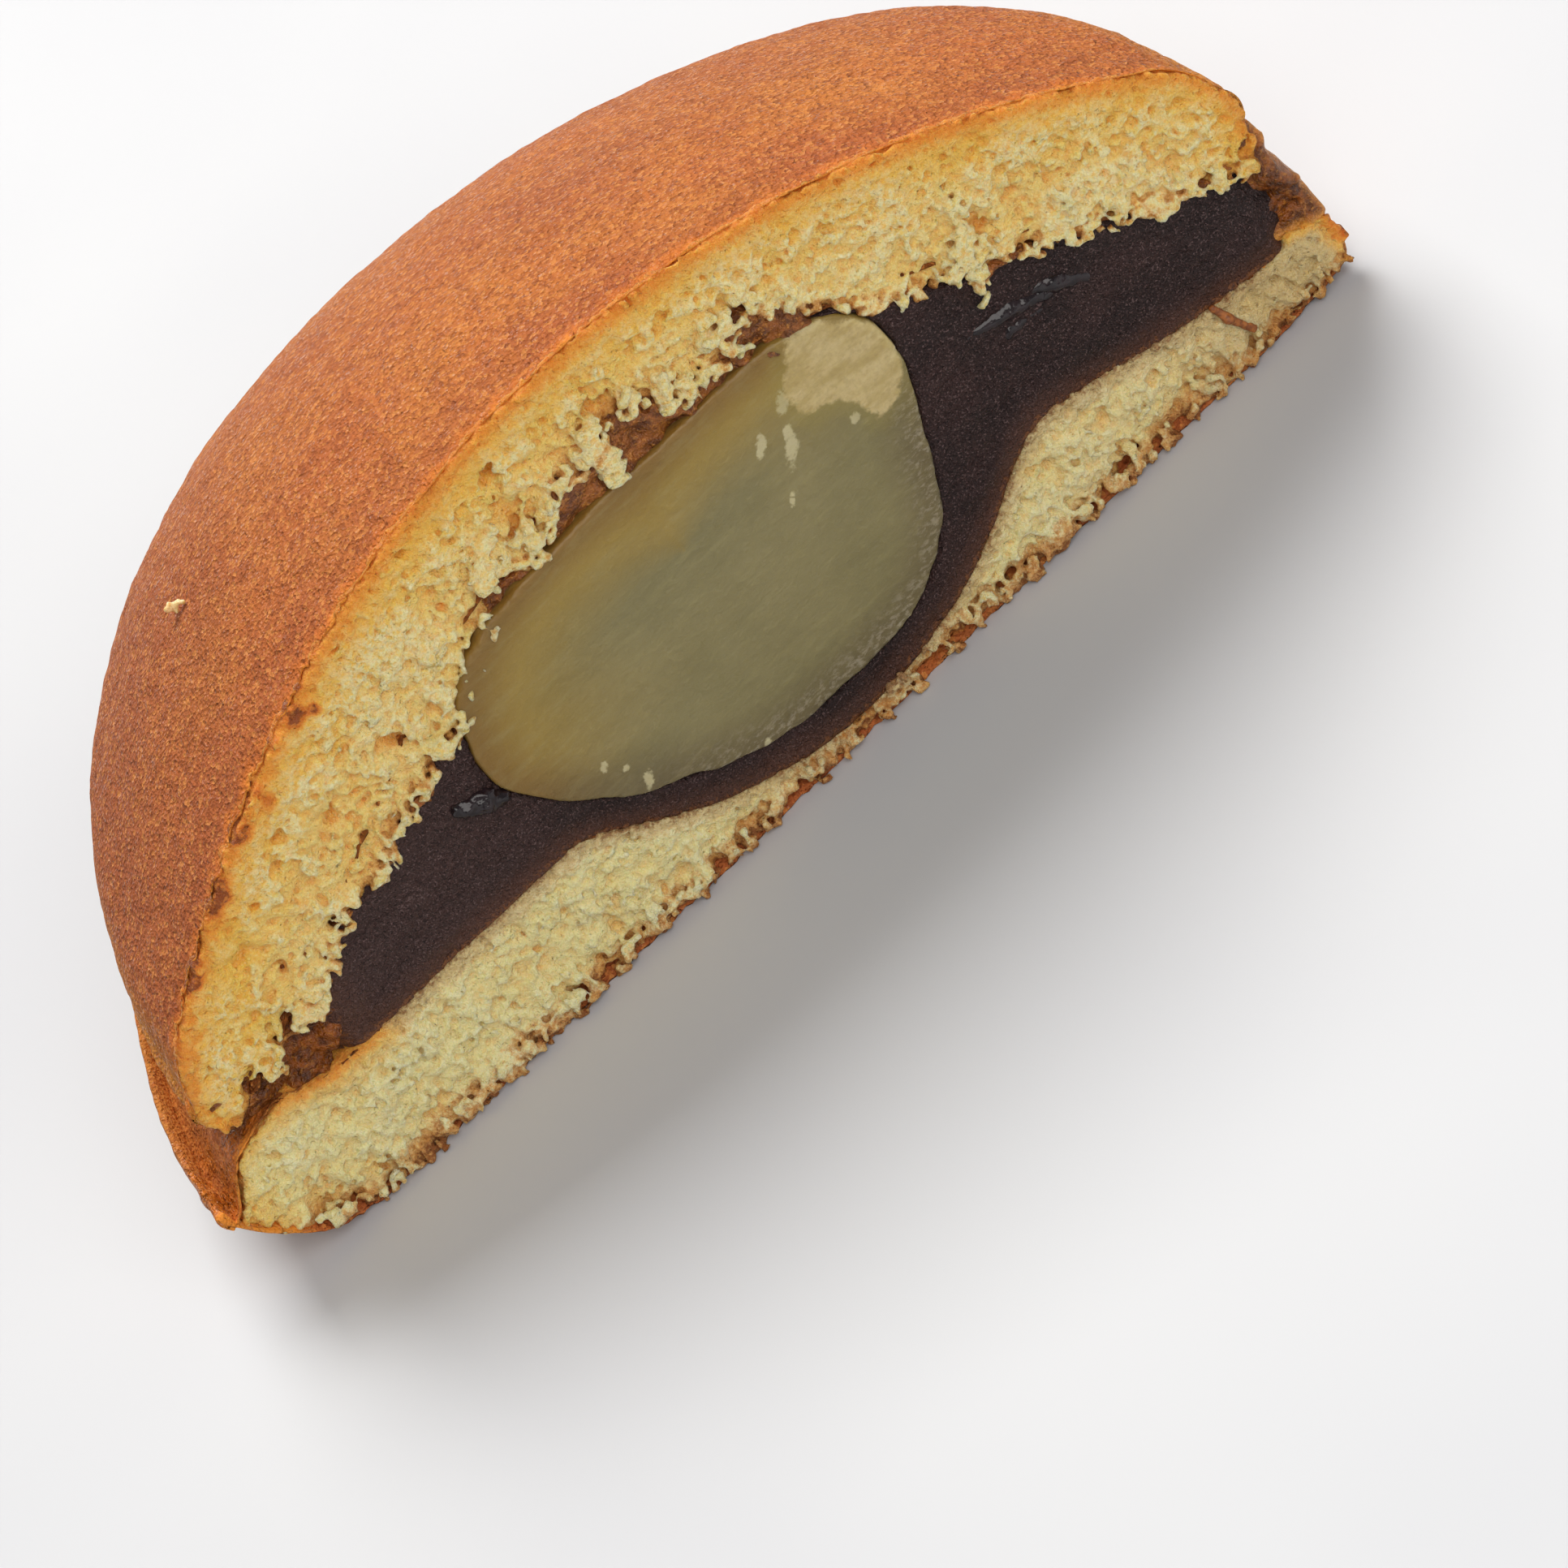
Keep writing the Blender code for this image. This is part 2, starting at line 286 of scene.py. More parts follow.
def egg_distance(x, y, z):
    """About how far a place lies inside the chestnut's surface, in millimetres."""
    up = z > CHESTNUT_LEVEL
    power = np.where(up, CHESTNUT_UP_POWER, CHESTNUT_DOWN_POWER)
    side = np.hypot((x - CHESTNUT_CENTRE) / CHESTNUT_HALF_LENGTH, y / CHESTNUT_DEPTH)
    high = np.abs(z - CHESTNUT_LEVEL) / np.where(up, CHESTNUT_UP, CHESTNUT_DOWN)
    size = (side**power + high**power) ** (1 / power)
    reach = mix(CHESTNUT_HALF_LENGTH, np.where(up, CHESTNUT_UP, CHESTNUT_DOWN), high / (side + high + 1e-6))
    return (1 - size) * reach + egg_bulge(x, y, z) * step(size, 0.3, 0.8)


# ---------------------------------------------------------------- meshes


def make(name, points, faces, look, node, **attributes):
    """Makes a piece of points in millimetres, and puts it in the place of a node."""
    mesh = bpy.data.meshes.new(name)
    corners = np.concatenate([np.asarray(group, np.int32).ravel() for group in faces])
    totals = np.concatenate([np.full(len(group), group.shape[1], np.int32) for group in faces])
    mesh.vertices.add(len(points))
    mesh.vertices.foreach_set("co", (np.asarray(points) * MM + np.array(SHIFT)).astype(np.float32).ravel())
    mesh.loops.add(len(corners))
    mesh.loops.foreach_set("vertex_index", corners)
    mesh.polygons.add(len(totals))
    mesh.polygons.foreach_set("loop_start", np.concatenate([[0], np.cumsum(totals)[:-1]]).astype(np.int32))
    mesh.update(calc_edges=True)
    mesh.validate()
    mesh.shade_smooth()
    for key, values in attributes.items():
        mesh.attributes.new(key, "FLOAT", "POINT").data.foreach_set("value", np.asarray(values, np.float32))
    piece = bpy.data.objects.new(name, mesh)
    bpy.context.scene.collection.objects.link(piece)
    mesh.materials.append(look)
    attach(piece, "root")
    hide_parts(node)


def sides(array):
    """The six sides of a block."""
    return [np.moveaxis(array, axis, 0)[end] for axis in range(3) for end in (0, -1)]


def block(*shares):
    """The surface of a block of 1 each way, cut at these shares along each axis: its points and its quads."""
    shape = [len(share) for share in shares]
    outside = np.zeros(shape, bool)
    for side in sides(outside):
        side[...] = True
    number = np.full(shape, -1)
    number[outside] = np.arange(outside.sum())
    places = np.nonzero(outside)
    points = np.stack([share[place] for share, place in zip(shares, places)], axis=1)
    quads = []
    for axis in range(3):
        for end in (0, -1):
            face = np.moveaxis(number, axis, 0)[end]
            quad = np.stack([face[:-1, :-1], face[1:, :-1], face[1:, 1:], face[:-1, 1:]], -1).reshape(-1, 4)
            quads.append(quad[:, ::-1] if (axis == 1) != (end == 0) else quad)
    return points, np.concatenate(quads)


def facing(points, group):
    """The direction that each face looks in, as long as twice its area."""
    return np.cross(points[group[:, 2]] - points[group[:, 0]], points[group[:, -1]] - points[group[:, 1]])


def normals(points, faces):
    """The outward direction at each point of a closed mesh."""
    total = np.zeros_like(points)
    for group in faces:
        across = facing(points, group)
        for corner in range(group.shape[1]):
            for axis in range(3):
                total[:, axis] += np.bincount(group[:, corner], across[:, axis], len(points))
    return total / np.maximum(np.linalg.norm(total, axis=1, keepdims=True), 1e-12)


def largest_body(points, faces):
    """Drops loose scraps and sealed bubbles, and keeps the largest connected surface."""
    label = np.arange(len(points))
    while True:
        before = label.copy()
        for group in faces:
            lowest = label[group].min(axis=1)
            for corner in range(group.shape[1]):
                np.minimum.at(label, group[:, corner], lowest)
        label = label[label]
        if (label == before).all():
            break
    kept = label == np.bincount(label).argmax()
    number = np.cumsum(kept) - 1
    return points[kept], [number[group[kept[group[:, 0]]]] for group in faces if len(group)]


def surface(field, axes, adaptivity):
    """The closed surface round the places where a field is above 0: its points, triangles and quads."""
    for side in sides(field):
        side[...] = -1
    grid = vdb.FloatGrid()
    grid.background = 1.0
    grid.copyFromArray(-field.astype(np.float32))
    points, triangles, quads = grid.convertToPolygons(isovalue=0.0, adaptivity=adaptivity)
    start = np.array([axis[0] for axis in axes])
    pitch = np.array([axis[1] - axis[0] for axis in axes])
    points, faces = largest_body(points * pitch + start, [triangles.astype(np.int64), quads.astype(np.int64)])
    middle = points[faces[-1]].mean(axis=1)
    if (facing(points, faces[-1]) * (middle - points.mean(axis=0))).sum() < 0:
        faces = [group[:, ::-1] for group in faces]
    return points, faces


def axes_of(low, high, pitch):
    return [np.arange(a, b + pitch, pitch, dtype=np.float32) for a, b in zip(low, high)]


def spread(axes):
    """The three axes shaped so that sums and products of them fill a block."""
    return axes[0][:, None, None], axes[1][None, :, None], axes[2][None, None, :]


def flat_of(axes):
    """The same axes, but one place deep."""
    return [axes[0], np.zeros(1, np.float32), axes[2]]


def steep(height, x):
    """How much longer a vertical distance is than the true one, along a height above x at the cut."""
    return np.sqrt(1 + np.gradient(height, x) ** 2)[:, None, None]


def round_each(field, axes, balls, join):
    """Joins balls to a field one by one: rows of x, y, z and radius."""
    start = np.array([axis[0] for axis in axes])
    pitch = axes[0][1] - axes[0][0]
    for ball in balls:
        reach = ball[3] + 2 * pitch
        first = np.maximum(((ball[:3] - reach - start) / pitch).astype(int), 0)
        last = ((ball[:3] + reach - start) / pitch).astype(int) + 2
        part = field[tuple(slice(a, b) for a, b in zip(first, last))]
        if part.size:
            x, y, z = spread([axis[a:b] - centre for axis, a, b, centre in zip(axes, first, last, ball)])
            join(part, np.sqrt(x * x + y * y + z * z) - ball[3], part)


def carve(field, axes, balls):
    """Takes round cells out of a field."""
    round_each(field, axes, balls, np.minimum)


def knob(field, axes, balls):
    """Adds round grains to a field."""
    round_each(field, axes, balls, lambda part, away, out: np.maximum(part, -away, out=out))


def blur(field, share):
    """Rounds off the sharp ridges of a field, by a share up to 0.5 of what lies beside each place."""
    for axis in range(3):
        part = np.moveaxis(field, axis, 0)
        part[1:-1] = (1 - share) * part[1:-1] + share / 2 * (part[:-2] + part[2:])


ROD_JOIN = 0.3


def rod(field, axes, start, end, radii):
    """Adds a tapered rod between two places to a field."""
    x, y, z = spread(axes)
    start, end = np.array(start), np.array(end)
    along = end - start
    t = ((x - start[0]) * along[0] + (y - start[1]) * along[1] + (z - start[2]) * along[2]) / (along @ along)
    t = np.clip(t, 0, 1)
    away = np.sqrt(sum((axis - a - t * d) ** 2 for axis, a, d in zip((x, y, z), start, along)))
    return smooth_max(field, mix(radii[0], radii[1], t) - away, ROD_JOIN)


# ---------------------------------------------------------------- looks


def linear(*colour):
    """A colour given as 0 to 255 in sRGB, as the shaders take it."""
    share = np.array(colour) / 255
    return (*np.where(share <= 0.04045, share / 12.92, ((share + 0.055) / 1.055) ** 2.4), 1.0)


class Look:
    """A material, built up from nodes. Sizes of noise are in millimetres."""

    def __init__(self, name):
        self.material = bpy.data.materials.new(name)
        self.material.use_nodes = True
        self.tree = self.material.node_tree
        self.shader = self.tree.nodes["Principled BSDF"]
        self.place = self.node("TexCoord").outputs["Object"]

    def link(self, value, socket):
        if isinstance(value, bpy.types.NodeSocket):
            self.tree.links.new(value, socket)
        else:
            socket.default_value = value

    def node(self, kind, *values):
        """Adds a node and feeds its first sockets."""
        node = self.tree.nodes.new("ShaderNode" + kind)
        for value, socket in zip(values, node.inputs):
            self.link(value, socket)
        return node

    def set(self, **values):
        for key, value in values.items():
            self.link(value, self.shader.inputs[key.replace("_", " ")])

    def attribute(self, name):
        node = self.node("Attribute")
        node.attribute_name = name
        return node.outputs["Fac"]

    def attributes(self, *names):
        return [self.attribute(name) for name in names]

    def math(self, operation, a, b):
        node = self.node("Math", a, b)
        node.operation = operation
        return node.outputs[0]

    def range(self, value, start, end, low=0.0, high=1.0):
        """low before start, high after end, and a smooth slope between."""
        node = self.node("MapRange", value, start, end, low, high)
        node.interpolation_type = "SMOOTHSTEP"
        return node.outputs[0]

    def ragged(self, value, grain, amount):
        """A value made uneven by a noise, up to that amount either way."""
        return self.math("ADD", value, self.range(grain, 0.2, 0.8, -amount, amount))

    def noise(self, size, detail=2.0, rough=0.5, stretch=(1, 1, 1)):
        moved = self.node("Mapping", self.place)
        moved.inputs["Scale"].default_value = [1 / (MM * size * along) for along in stretch]
        node = self.node("TexNoise", moved.outputs[0])
        for key, value in (("Scale", 1.0), ("Detail", detail), ("Roughness", rough)):
            node.inputs[key].default_value = value
        return node.outputs["Fac"]

    def cells(self, size):
        """Grains of that size: the distance from each one's middle, and a random number for each."""
        node = self.node("TexVoronoi", self.place)
        node.inputs["Scale"].default_value = 1 / (MM * size)
        return node.outputs["Distance"], self.node("SeparateColor", node.outputs["Color"]).outputs[0]

    def blend(self, share, a, b):
        """From a to b by a share. Each is a colour of 0 to 255, or comes from a node."""
        node = self.tree.nodes.new("ShaderNodeMix")
        node.data_type = "RGBA"
        for number, value in ((0, share), (6, a), (7, b)):
            self.link(linear(*value) if isinstance(value, tuple) else value, node.inputs[number])
        return node.outputs[2]

    def paint(self, colour, *coats):
        """Coats of paint over a colour, the first one lowest.

        A coat is what it follows, where that starts and ends, the coat's share there, and its colour, or only
        its share and its colour.
        """
        for *where, coat in coats:
            if len(where) > 1:
                value, start, end, share = where
                where = [self.range(value, start, end, 0.0, share)]
            colour = self.blend(where[0], colour, coat)
        return colour

    def bumps(self, *bumps):
        """Bumps over each other: what each one follows, and its depth in millimetres."""
        normal = None
        for height, depth in bumps:
            node = self.tree.nodes.new("ShaderNodeBump")
            self.link(height, node.inputs["Height"])
            node.inputs["Distance"].default_value = depth * MM
            if normal:
                self.link(normal, node.inputs["Normal"])
            normal = node.outputs[0]
        return normal

    def soften(self, weight, radius, scale):
        """Light scattered under the surface: a radius for red, green and blue, and a scale in millimetres."""
        self.shader.subsurface_method = "RANDOM_WALK"
        self.set(Subsurface_Weight=weight, Subsurface_Radius=radius, Subsurface_Scale=scale * MM)


def crust_look():
    """Browned skin: mottled, finely pitted, golden where thin, orange at the cut, dark where torn."""
    look = Look("crust")
    edge, gold, inner, baked_and_shade, glaze = look.attributes("edge", "gold", "inner", "baked_and_shade", "glaze")
    middle = look.noise(1.6, 3.0, 0.6)
    fine = look.noise(0.30, 2.0, 0.6)
    pores, chance = look.cells(0.26)
    glints, glint = look.cells(0.14)
    thin = look.paint((216, 144, 56), (fine, 0.35, 0.7, 1.0, (176, 98, 36)))
    lip = look.math("ADD", look.ragged(edge, fine, 0.2), look.range(middle, 0.3, 0.7, -0.4, 0.4))
    stain = look.paint(
        (152, 86, 34),
        (middle, 0.3, 0.7, 1.0, (94, 50, 20)),
        (fine, 0.52, 0.72, 1.0, (206, 132, 62)),
    )
    syrup = look.paint((168, 92, 14), (middle, 0.3, 0.7, 1.0, (104, 50, 6)))
    amber = look.paint(
        (204, 112, 34),
        (glaze, 0.7, 1.0, 1.0, syrup),
        (fine, 0.5, 0.65, 0.75, (92, 42, 14)),
        (fine, 0.42, 0.3, 0.5, (240, 158, 72)),
    )
    colour = look.paint(
        (198, 110, 50),
        (look.noise(8.0, 3.0), 0.3, 0.7, 1.0, (212, 130, 52)),
        # Darker crust: longer baking at the left end, and painted shade that darkens the dome towards the
        # back
        (baked_and_shade, (166, 90, 50)),
        (edge, 12.0, 1.0, 0.5, (166, 86, 50)),
        (middle, 0.35, 0.75, 0.6, (164, 86, 44)),
        (chance, 0.62, 0.95, 0.5, (126, 62, 30)),
        (chance, 0.32, 0.05, 0.5, (226, 150, 76)),
        (fine, 0.54, 0.72, 0.35, (122, 60, 28)),
        (gold, thin),
        (lip, 1.5, 0.2, 0.75, (216, 120, 46)),
        (lip, 0.5, -0.1, 0.8, (236, 148, 54)),
        (inner, stain),
        (glaze, amber),
    )
    wet = look.math("MULTIPLY", look.noise(0.5, 2.0), glaze)
    waves = (look.noise(2.4, 2.0), 0.3), (look.noise(0.9, 3.0, 0.6), 0.3)
    bump = look.bumps(*waves, (wet, 0.5), (pores, 0.14), (fine, 0.08), (glints, 0.05))
    dry = look.range(glint, 0.80, 0.92, 0.80, 0.28)
    rough = look.math("MULTIPLY", dry, look.range(glaze, 0.0, 0.8, 1.0, 0.35))
    look.set(Base_Color=colour, Normal=bump, Roughness=rough, Specular_IOR_Level=0.22)
    look.soften(0.12, (1.0, 0.5, 0.3), 0.7)
    return look.material


def crumb_look(name, cream, yellow, pit):
    """Torn crumb: flakes painted pale as highlight, pits and creases painted golden as shade, a partly
    painted glow by the crust, and stains of crust, paste and browned underside at its edges.
    """
    look = Look(name)
    crust, stained, brown = look.attributes("crust", "stained", "brown")
    deep, golden, moist = look.attributes("deep", "golden", "moist")
    fine = look.noise(0.40, 3.0, 0.65)
    fuzz = look.noise(0.15, 2.0, 0.7)
    crease, chance = look.cells(0.36)
    grain, _ = look.cells(0.17)
    # Painted highlight: raised places, where the fine noise is high, painted paler
    pale = look.math("MULTIPLY", look.range(deep, 0.2, -0.12), look.range(fine, 0.35, 0.6, 0.0, 0.7))
    near = look.ragged(crust, fine, 0.3)
    touch = look.ragged(stained, fine, 0.5)
    under = look.ragged(brown, fine, 0.45)
    skin = look.paint(
        (146, 74, 32),
        (fine, 0.45, 0.65, 1.0, (208, 130, 56)),
        (chance, 0.7, 0.95, 0.6, (112, 64, 54)),
    )
    colour = look.paint(
        cream,
        (golden, yellow),
        (look.noise(3.2, 3.0), 0.3, 0.7, 0.35, yellow),
        (look.noise(0.9, 2.0, 0.5), 0.52, 0.75, 0.35, pit),
        # Painted shade and highlight: recesses, cell dimples and low fuzz painted golden and darker; raised
        # flakes and high fuzz painted pale
        (deep, 0.25, 0.9, 0.7, pit),
        (pale, (255, 242, 196)),
        (chance, 0.55, 0.95, 0.2, pit),
        (crease, 0.40, 0.05, 0.1, pit),
        (fuzz, 0.52, 0.72, 0.4, (255, 242, 190)),
        (fuzz, 0.45, 0.25, 0.2, pit),
        # Darker and greyer towards the right of the bottom crumb: partly soaked crumb, partly painted shade
        (moist, (198, 170, 114)),
        # Orange and gold near the crust: partly the crumb's own colour there, partly a painted glow of light
        # passing through the crust
        (near, 3.2, 0.9, 0.75, (250, 190, 82)),
        (near, 1.3, 0.3, 0.8, (238, 152, 54)),
        (near, 0.3, -0.4, 0.8, (218, 122, 44)),
        (near, -0.4, -1.0, 0.9, skin),
        (touch, 1.8, 0.5, 0.7, (196, 168, 118)),
        (touch, 0.6, 0.0, 0.8, (142, 96, 58)),
        (under, 1.5, 0.6, 0.8, (204, 138, 62)),
        (under, 0.7, 0.15, 0.85, (132, 72, 30)),
    )
    bump = look.bumps((fine, 0.20), (crease, 0.12), (grain, 0.12), (fuzz, 0.16))
    moist_edge = look.range(touch, 0.5, 2.0, 0.34, 0.6)
    rough = look.math("MULTIPLY", moist_edge, look.range(near, -0.8, 0.0, 0.6, 1.0))
    look.set(Base_Color=colour, Normal=bump, Roughness=rough, Specular_IOR_Level=0.3)
    look.soften(0.85, (1.0, 0.85, 0.66), 0.7)
    return look.material


def paste_look():
    """Bean paste: dark purple-brown, damp and fine-grained with small glints, partly painted as pale specks,
    lighter at its left as painted light, browner by the bottom cake.
    """
    look = Look("paste")
    rim, lit = look.attributes("rim", "lit")
    fine = look.noise(0.34, 3.0, 0.7)
    speck = look.noise(0.13, 1.0)
    touch = look.ragged(rim, fine, 0.5)
    colour = look.paint(
        (54, 33, 31),
        (look.noise(4.0, 3.0), 0.3, 0.7, 1.0, (38, 23, 22)),
        # Painted light: the left part of the paste painted lighter
        (lit, (72, 50, 46)),
        (fine, 0.5, 0.75, 0.5, (78, 54, 50)),
        (fine, 0.5, 0.3, 0.6, (26, 15, 15)),
        # Painted highlight: pale glinting specks
        (speck, 0.58, 0.68, 0.55, (122, 98, 96)),
        (touch, 2.2, 0.3, 0.6, (96, 60, 44)),
        (touch, 0.4, 0.0, 0.6, (140, 88, 48)),
    )
    bump = look.bumps((look.noise(1.4, 3.0, 0.6), 0.4), (fine, 0.42), (speck, 0.12))
    rough = look.range(speck, 0.45, 0.6, 0.46, 0.26)
    look.set(Base_Color=colour, Normal=bump, Roughness=rough, Specular_IOR_Level=0.3)
    look.soften(0.1, (1.0, 0.5, 0.4), 0.5)
    return look.material


def chestnut_look():
    """Syrup-soaked chestnut: translucent olive, warmer at its upper left, with one opaque cream patch."""
    look = Look("chestnut_flesh")
    warm, rim, frost, fleck, patch = look.attributes("warm", "rim", "frost", "fleck", "patch")
    streak = look.noise(1.2, 3.0, 0.6, (2.2, 1, 0.8))
    fine = look.noise(0.3, 2.0, 0.6)
    fuzz = look.noise(0.34, 4.0, 0.7, (1.5, 1, 0.8))
    fibre = look.noise(0.9, 4.0, 0.65, (4.5, 1, 0.7))
    haze = look.math("MULTIPLY", look.range(rim, 3.0, 0.2, 0.0, 0.6), look.range(fuzz, 0.46, 0.66))
    square = look.ragged(patch, fine, 0.03)
    share = look.range(square, 1.03, 0.92, 0.0, 0.9)
    cream = look.paint(
        (208, 188, 136),
        (streak, 0.4, 0.65, 1.0, (188, 166, 108)),
        (fine, 0.35, 0.75, 0.4, (168, 146, 96)),
    )
    colour = look.paint(
        (144, 134, 92),
        (look.noise(6.0, 2.0), 0.3, 0.7, 1.0, (134, 125, 84)),
        (warm, (162, 134, 56)),
        (rim, 4.0, 0.0, 0.8, look.blend(warm, (104, 90, 60), (126, 92, 36))),
        (streak, 0.5, 0.75, 0.15, (160, 150, 106)),
        (fibre, 0.48, 0.75, 0.2, (172, 162, 112)),
        (look.math("MULTIPLY", haze, frost), (176, 166, 142)),
        (look.ragged(fleck, fine, 0.25), 1.1, 0.6, 0.8, (204, 194, 152)),
        (square, 1.5, 1.0, 0.3, (160, 144, 70)),
        (share, cream),
    )
    bump = look.bumps((look.noise(0.6, 3.0, 0.6), 0.03), (fine, 0.03), (fuzz, 0.06))
    rough = look.range(share, 0.0, 1.0, 0.34, 0.55)
    look.set(Base_Color=colour, Normal=bump, Roughness=rough, Specular_IOR_Level=0.45)
    look.soften(0.75, (1.0, 0.85, 0.5), 2.0)
    return look.material


def syrup_look():
    """Browned inner skin, bumpy and glistening: reddish brown, amber where soaked, golden at its rim, with
    golden glints painted on as highlight.
    """
    look = Look("syrup_skin")
    syrup, rim = look.attributes("syrup", "rim")
    middle = look.noise(0.9, 3.0, 0.6)
    fine = look.noise(0.28, 3.0, 0.6)
    _, chance = look.cells(0.33)
    amber = look.paint(
        (146, 76, 10),
        (middle, 0.35, 0.65, 1.0, (72, 32, 4)),
        # Painted highlight: golden specks on the amber
        (fine, 0.5, 0.75, 0.5, (204, 128, 32)),
    )
    colour = look.paint(
        (160, 94, 38),
        (middle, 0.35, 0.65, 1.0, (98, 52, 18)),
        # Painted highlight: golden glints
        (fine, 0.5, 0.7, 0.7, (208, 140, 62)),
        (chance, 0.75, 0.95, 0.4, (104, 62, 44)),
        (syrup, amber),
        (look.ragged(rim, fine, 0.3), 0.9, 0.0, 0.85, (232, 158, 70)),
    )
    bump = look.bumps((look.noise(0.7, 3.0, 0.6), 0.45), (fine, 0.3))
    look.set(Base_Color=colour, Normal=bump, Roughness=look.range(syrup, 0.0, 1.0, 0.36, 0.2))
    look.soften(0.2, (1.0, 0.45, 0.15), 1.0)
    return look.material


def plain_look(name, light, dark, size, rough, scatter=0.0):
    """A speckled surface between two colours."""
    look = Look(name)
    speck = look.noise(size, 3.0, 0.6)
    colour = look.paint(light, (speck, 0.35, 0.65, 1.0, dark))
    look.set(Base_Color=colour, Roughness=rough, Normal=look.bumps((speck, 0.1)))
    if scatter:
        look.soften(scatter, (1.0, 0.6, 0.3), 0.8)
    return look.material


CRUST = crust_look()
TOP_CRUMB = crumb_look("top_crumb", (255, 219, 140), (255, 202, 94), (240, 166, 62))
BOTTOM_CRUMB = crumb_look("bottom_crumb", (255, 238, 182), (255, 226, 144), (248, 196, 106))
SYRUP = syrup_look()
PASTE = paste_look()
FLESH = chestnut_look()
SKIN = plain_look("bean_skin", (38, 26, 29), (22, 15, 18), 0.8, 0.18)
PALE = plain_look("pale_crumb", (240, 218, 168), (214, 170, 96), 0.3, 0.5, 0.5)
TOAST = plain_look("toasted_crumb", (172, 104, 48), (122, 66, 30), 0.35, 0.5, 0.2)


# ---------------------------------------------------------------- crusts


def even_ends(count, share):
    """Places from 0 to 1, closer at both ends."""
    t = np.linspace(0, 1, count)
    return mix(t, step(t, 0, 1), share)


def half_disc(u, v, radius, depth):
    """Maps u in -1..1 and v in 0..1 onto a half ellipse."""
    return radius * u * np.sqrt(1 - v * v / 2), depth * v * np.sqrt(1 - u * u / 2)


# A point of a block is on its rim beyond the one share, and at the cut below the other
AT_RIM = 0.9999
AT_CUT = 0.0001


def slab(shares, centre, radius, depth, bulge, under, over):
    """A half-round slab between two heights.

    Gives its points and quads, and for each point u along the cut, whether it is at the cut, w from the
    underside up, and how thick the slab is there.
    """
    block_points, quads = block(*shares)
    u = 2 * block_points[:, 0] - 1
    v, w = block_points[:, 1], block_points[:, 2]
    x, y = half_disc(u, v, radius, depth)
    low, high = under(centre + x, y), over(centre + x, y)
    at_rim = (np.abs(u) > AT_RIM) | (v > AT_RIM)
    out = np.where(at_rim, 1 + bulge / radius * (1 - (2 * w - 1) ** 2), 1)
    points = np.stack([centre + x * out, y * out, mix(low, high, w)], axis=1)
    return points, quads, u, v < AT_CUT, w, high - low


# Points of the crusts along the cut and towards the back, and through their height
TOP_GRID = (290, 144)
BOTTOM_GRID = (220, 96)
CRUST_LAYERS = 15

# How far a crust's lip lies behind the cut, and its recess behind the lip, from the edge inwards
LIP = 0.40
RECESS = 2.2
RECESS_STARTS = 0.3
RECESS_FULL = 1.0

# How far the crust lies inside the solid, how far the crumb dips under it, and how far from the cut a colour
# still follows the distance
SHRINK = 0.18
CRUST_DEEPER = 0.6
EDGE_LIMIT = 15


def crust(name, node, grid, form, torn, colours):
    """A cake's browned outside. Its front is set back behind the torn crumb, but for a thin lip."""
    shares = even_ends(grid[0], 0.3), even_ends(grid[1], 0.5), even_ends(CRUST_LAYERS, 0.85)
    points, quads, u, front, w, thick = slab(shares, *form)
    edge = np.minimum(np.minimum(thick - thick * w, thick * w), form[1] * (1 - np.abs(u)))
    points[:, 1] += (LIP + torn(points)) * (1 - step(points[:, 1], 0, 5))
    points[front, 1] += (RECESS * step(edge, RECESS_STARTS, RECESS_FULL))[front]
    points[:, 2] *= lean(points[:, 0], points[:, 1])
    away = normals(points, [quads])
    points += away * ((crust_relief(points) - SHRINK) * np.where(front, 0.3, 1))[:, None]
    points[:, 2] = np.maximum(points[:, 2], 0.0)
    make(name, points, [quads], CRUST, node, **colours(points, w))


def depth_below(z, low, high, slope, inside, bulge):
    """Distance of places below a cake's browned surface."""
    w = np.clip((z - low) / (high - low), 0, 1)
    return np.minimum((high - z) / slope, inside + bulge * 4 * w * (1 - w)) - SHRINK


def top_torn(points):
    """How far the torn edge of the top crust lies back: teeth on the left, soft waves on the right."""
    along = points * (1, 0, 0)
    teeth = np.abs(noise(along, 1.5, 61)) + 0.6 * np.abs(noise(along, 0.7, 62))
    waves = 0.5 + 0.5 * noise(along, 4.0, 63)
    return mix(0.35 * waves, 1.1 * teeth, step(-points[:, 0], 6, 18))


def bottom_torn(points):
    """The same for the bottom cake, whose crust reaches the cut at its left end."""
    along = points * (1, 0, 2)
    left_tip = step(-points[:, 0], 37.5, 40.5)
    return mix(0.5, 0.15, left_tip) * np.abs(noise(along, 1.2, 64)) - 0.42 * left_tip


def crust_relief(points):
    """Dimples and fine wrinkles of a browned skin, in millimetres."""
    left_tip = step(-points[:, 0], 36, 41) * (1 - step(points[:, 1], 3, 8))
    grains = (0.06 + 0.10 * left_tip) * noise(points, 0.9, 3)
    return 0.10 * noise(points, 5.0, 1) + 0.07 * noise(points, 2.2, 2) + grains


def top_colours(points, w):
    """How close each point lies to the cut, how golden the rim is, and where the torn inner skin is."""
    x, y, z = points.T
    inside = top_inside(x, y)
    drop = dome(x, y) - z / lean(x, y)
    # Darker at the left end from longer baking; the term that grows towards the back is painted shade on the
    # dome's far side
    baked_and_shade = 0.75 * step(-x, 8, 40) + 0.6 * step(y, 4, 18) + 0.25 * noise(points, 9.0, 66)
    return {
        "edge": np.clip(y - LIP - top_torn(points), 0, EDGE_LIMIT),
        "gold": (1 - step(inside, -0.4, 2.2)) * step(w, 0.15, 0.5) * 0.9,
        "inner": (w < 0.5) & (drop > 4),
        "baked_and_shade": np.clip(baked_and_shade, 0, 1),
        "glaze": 0 * w,
    }


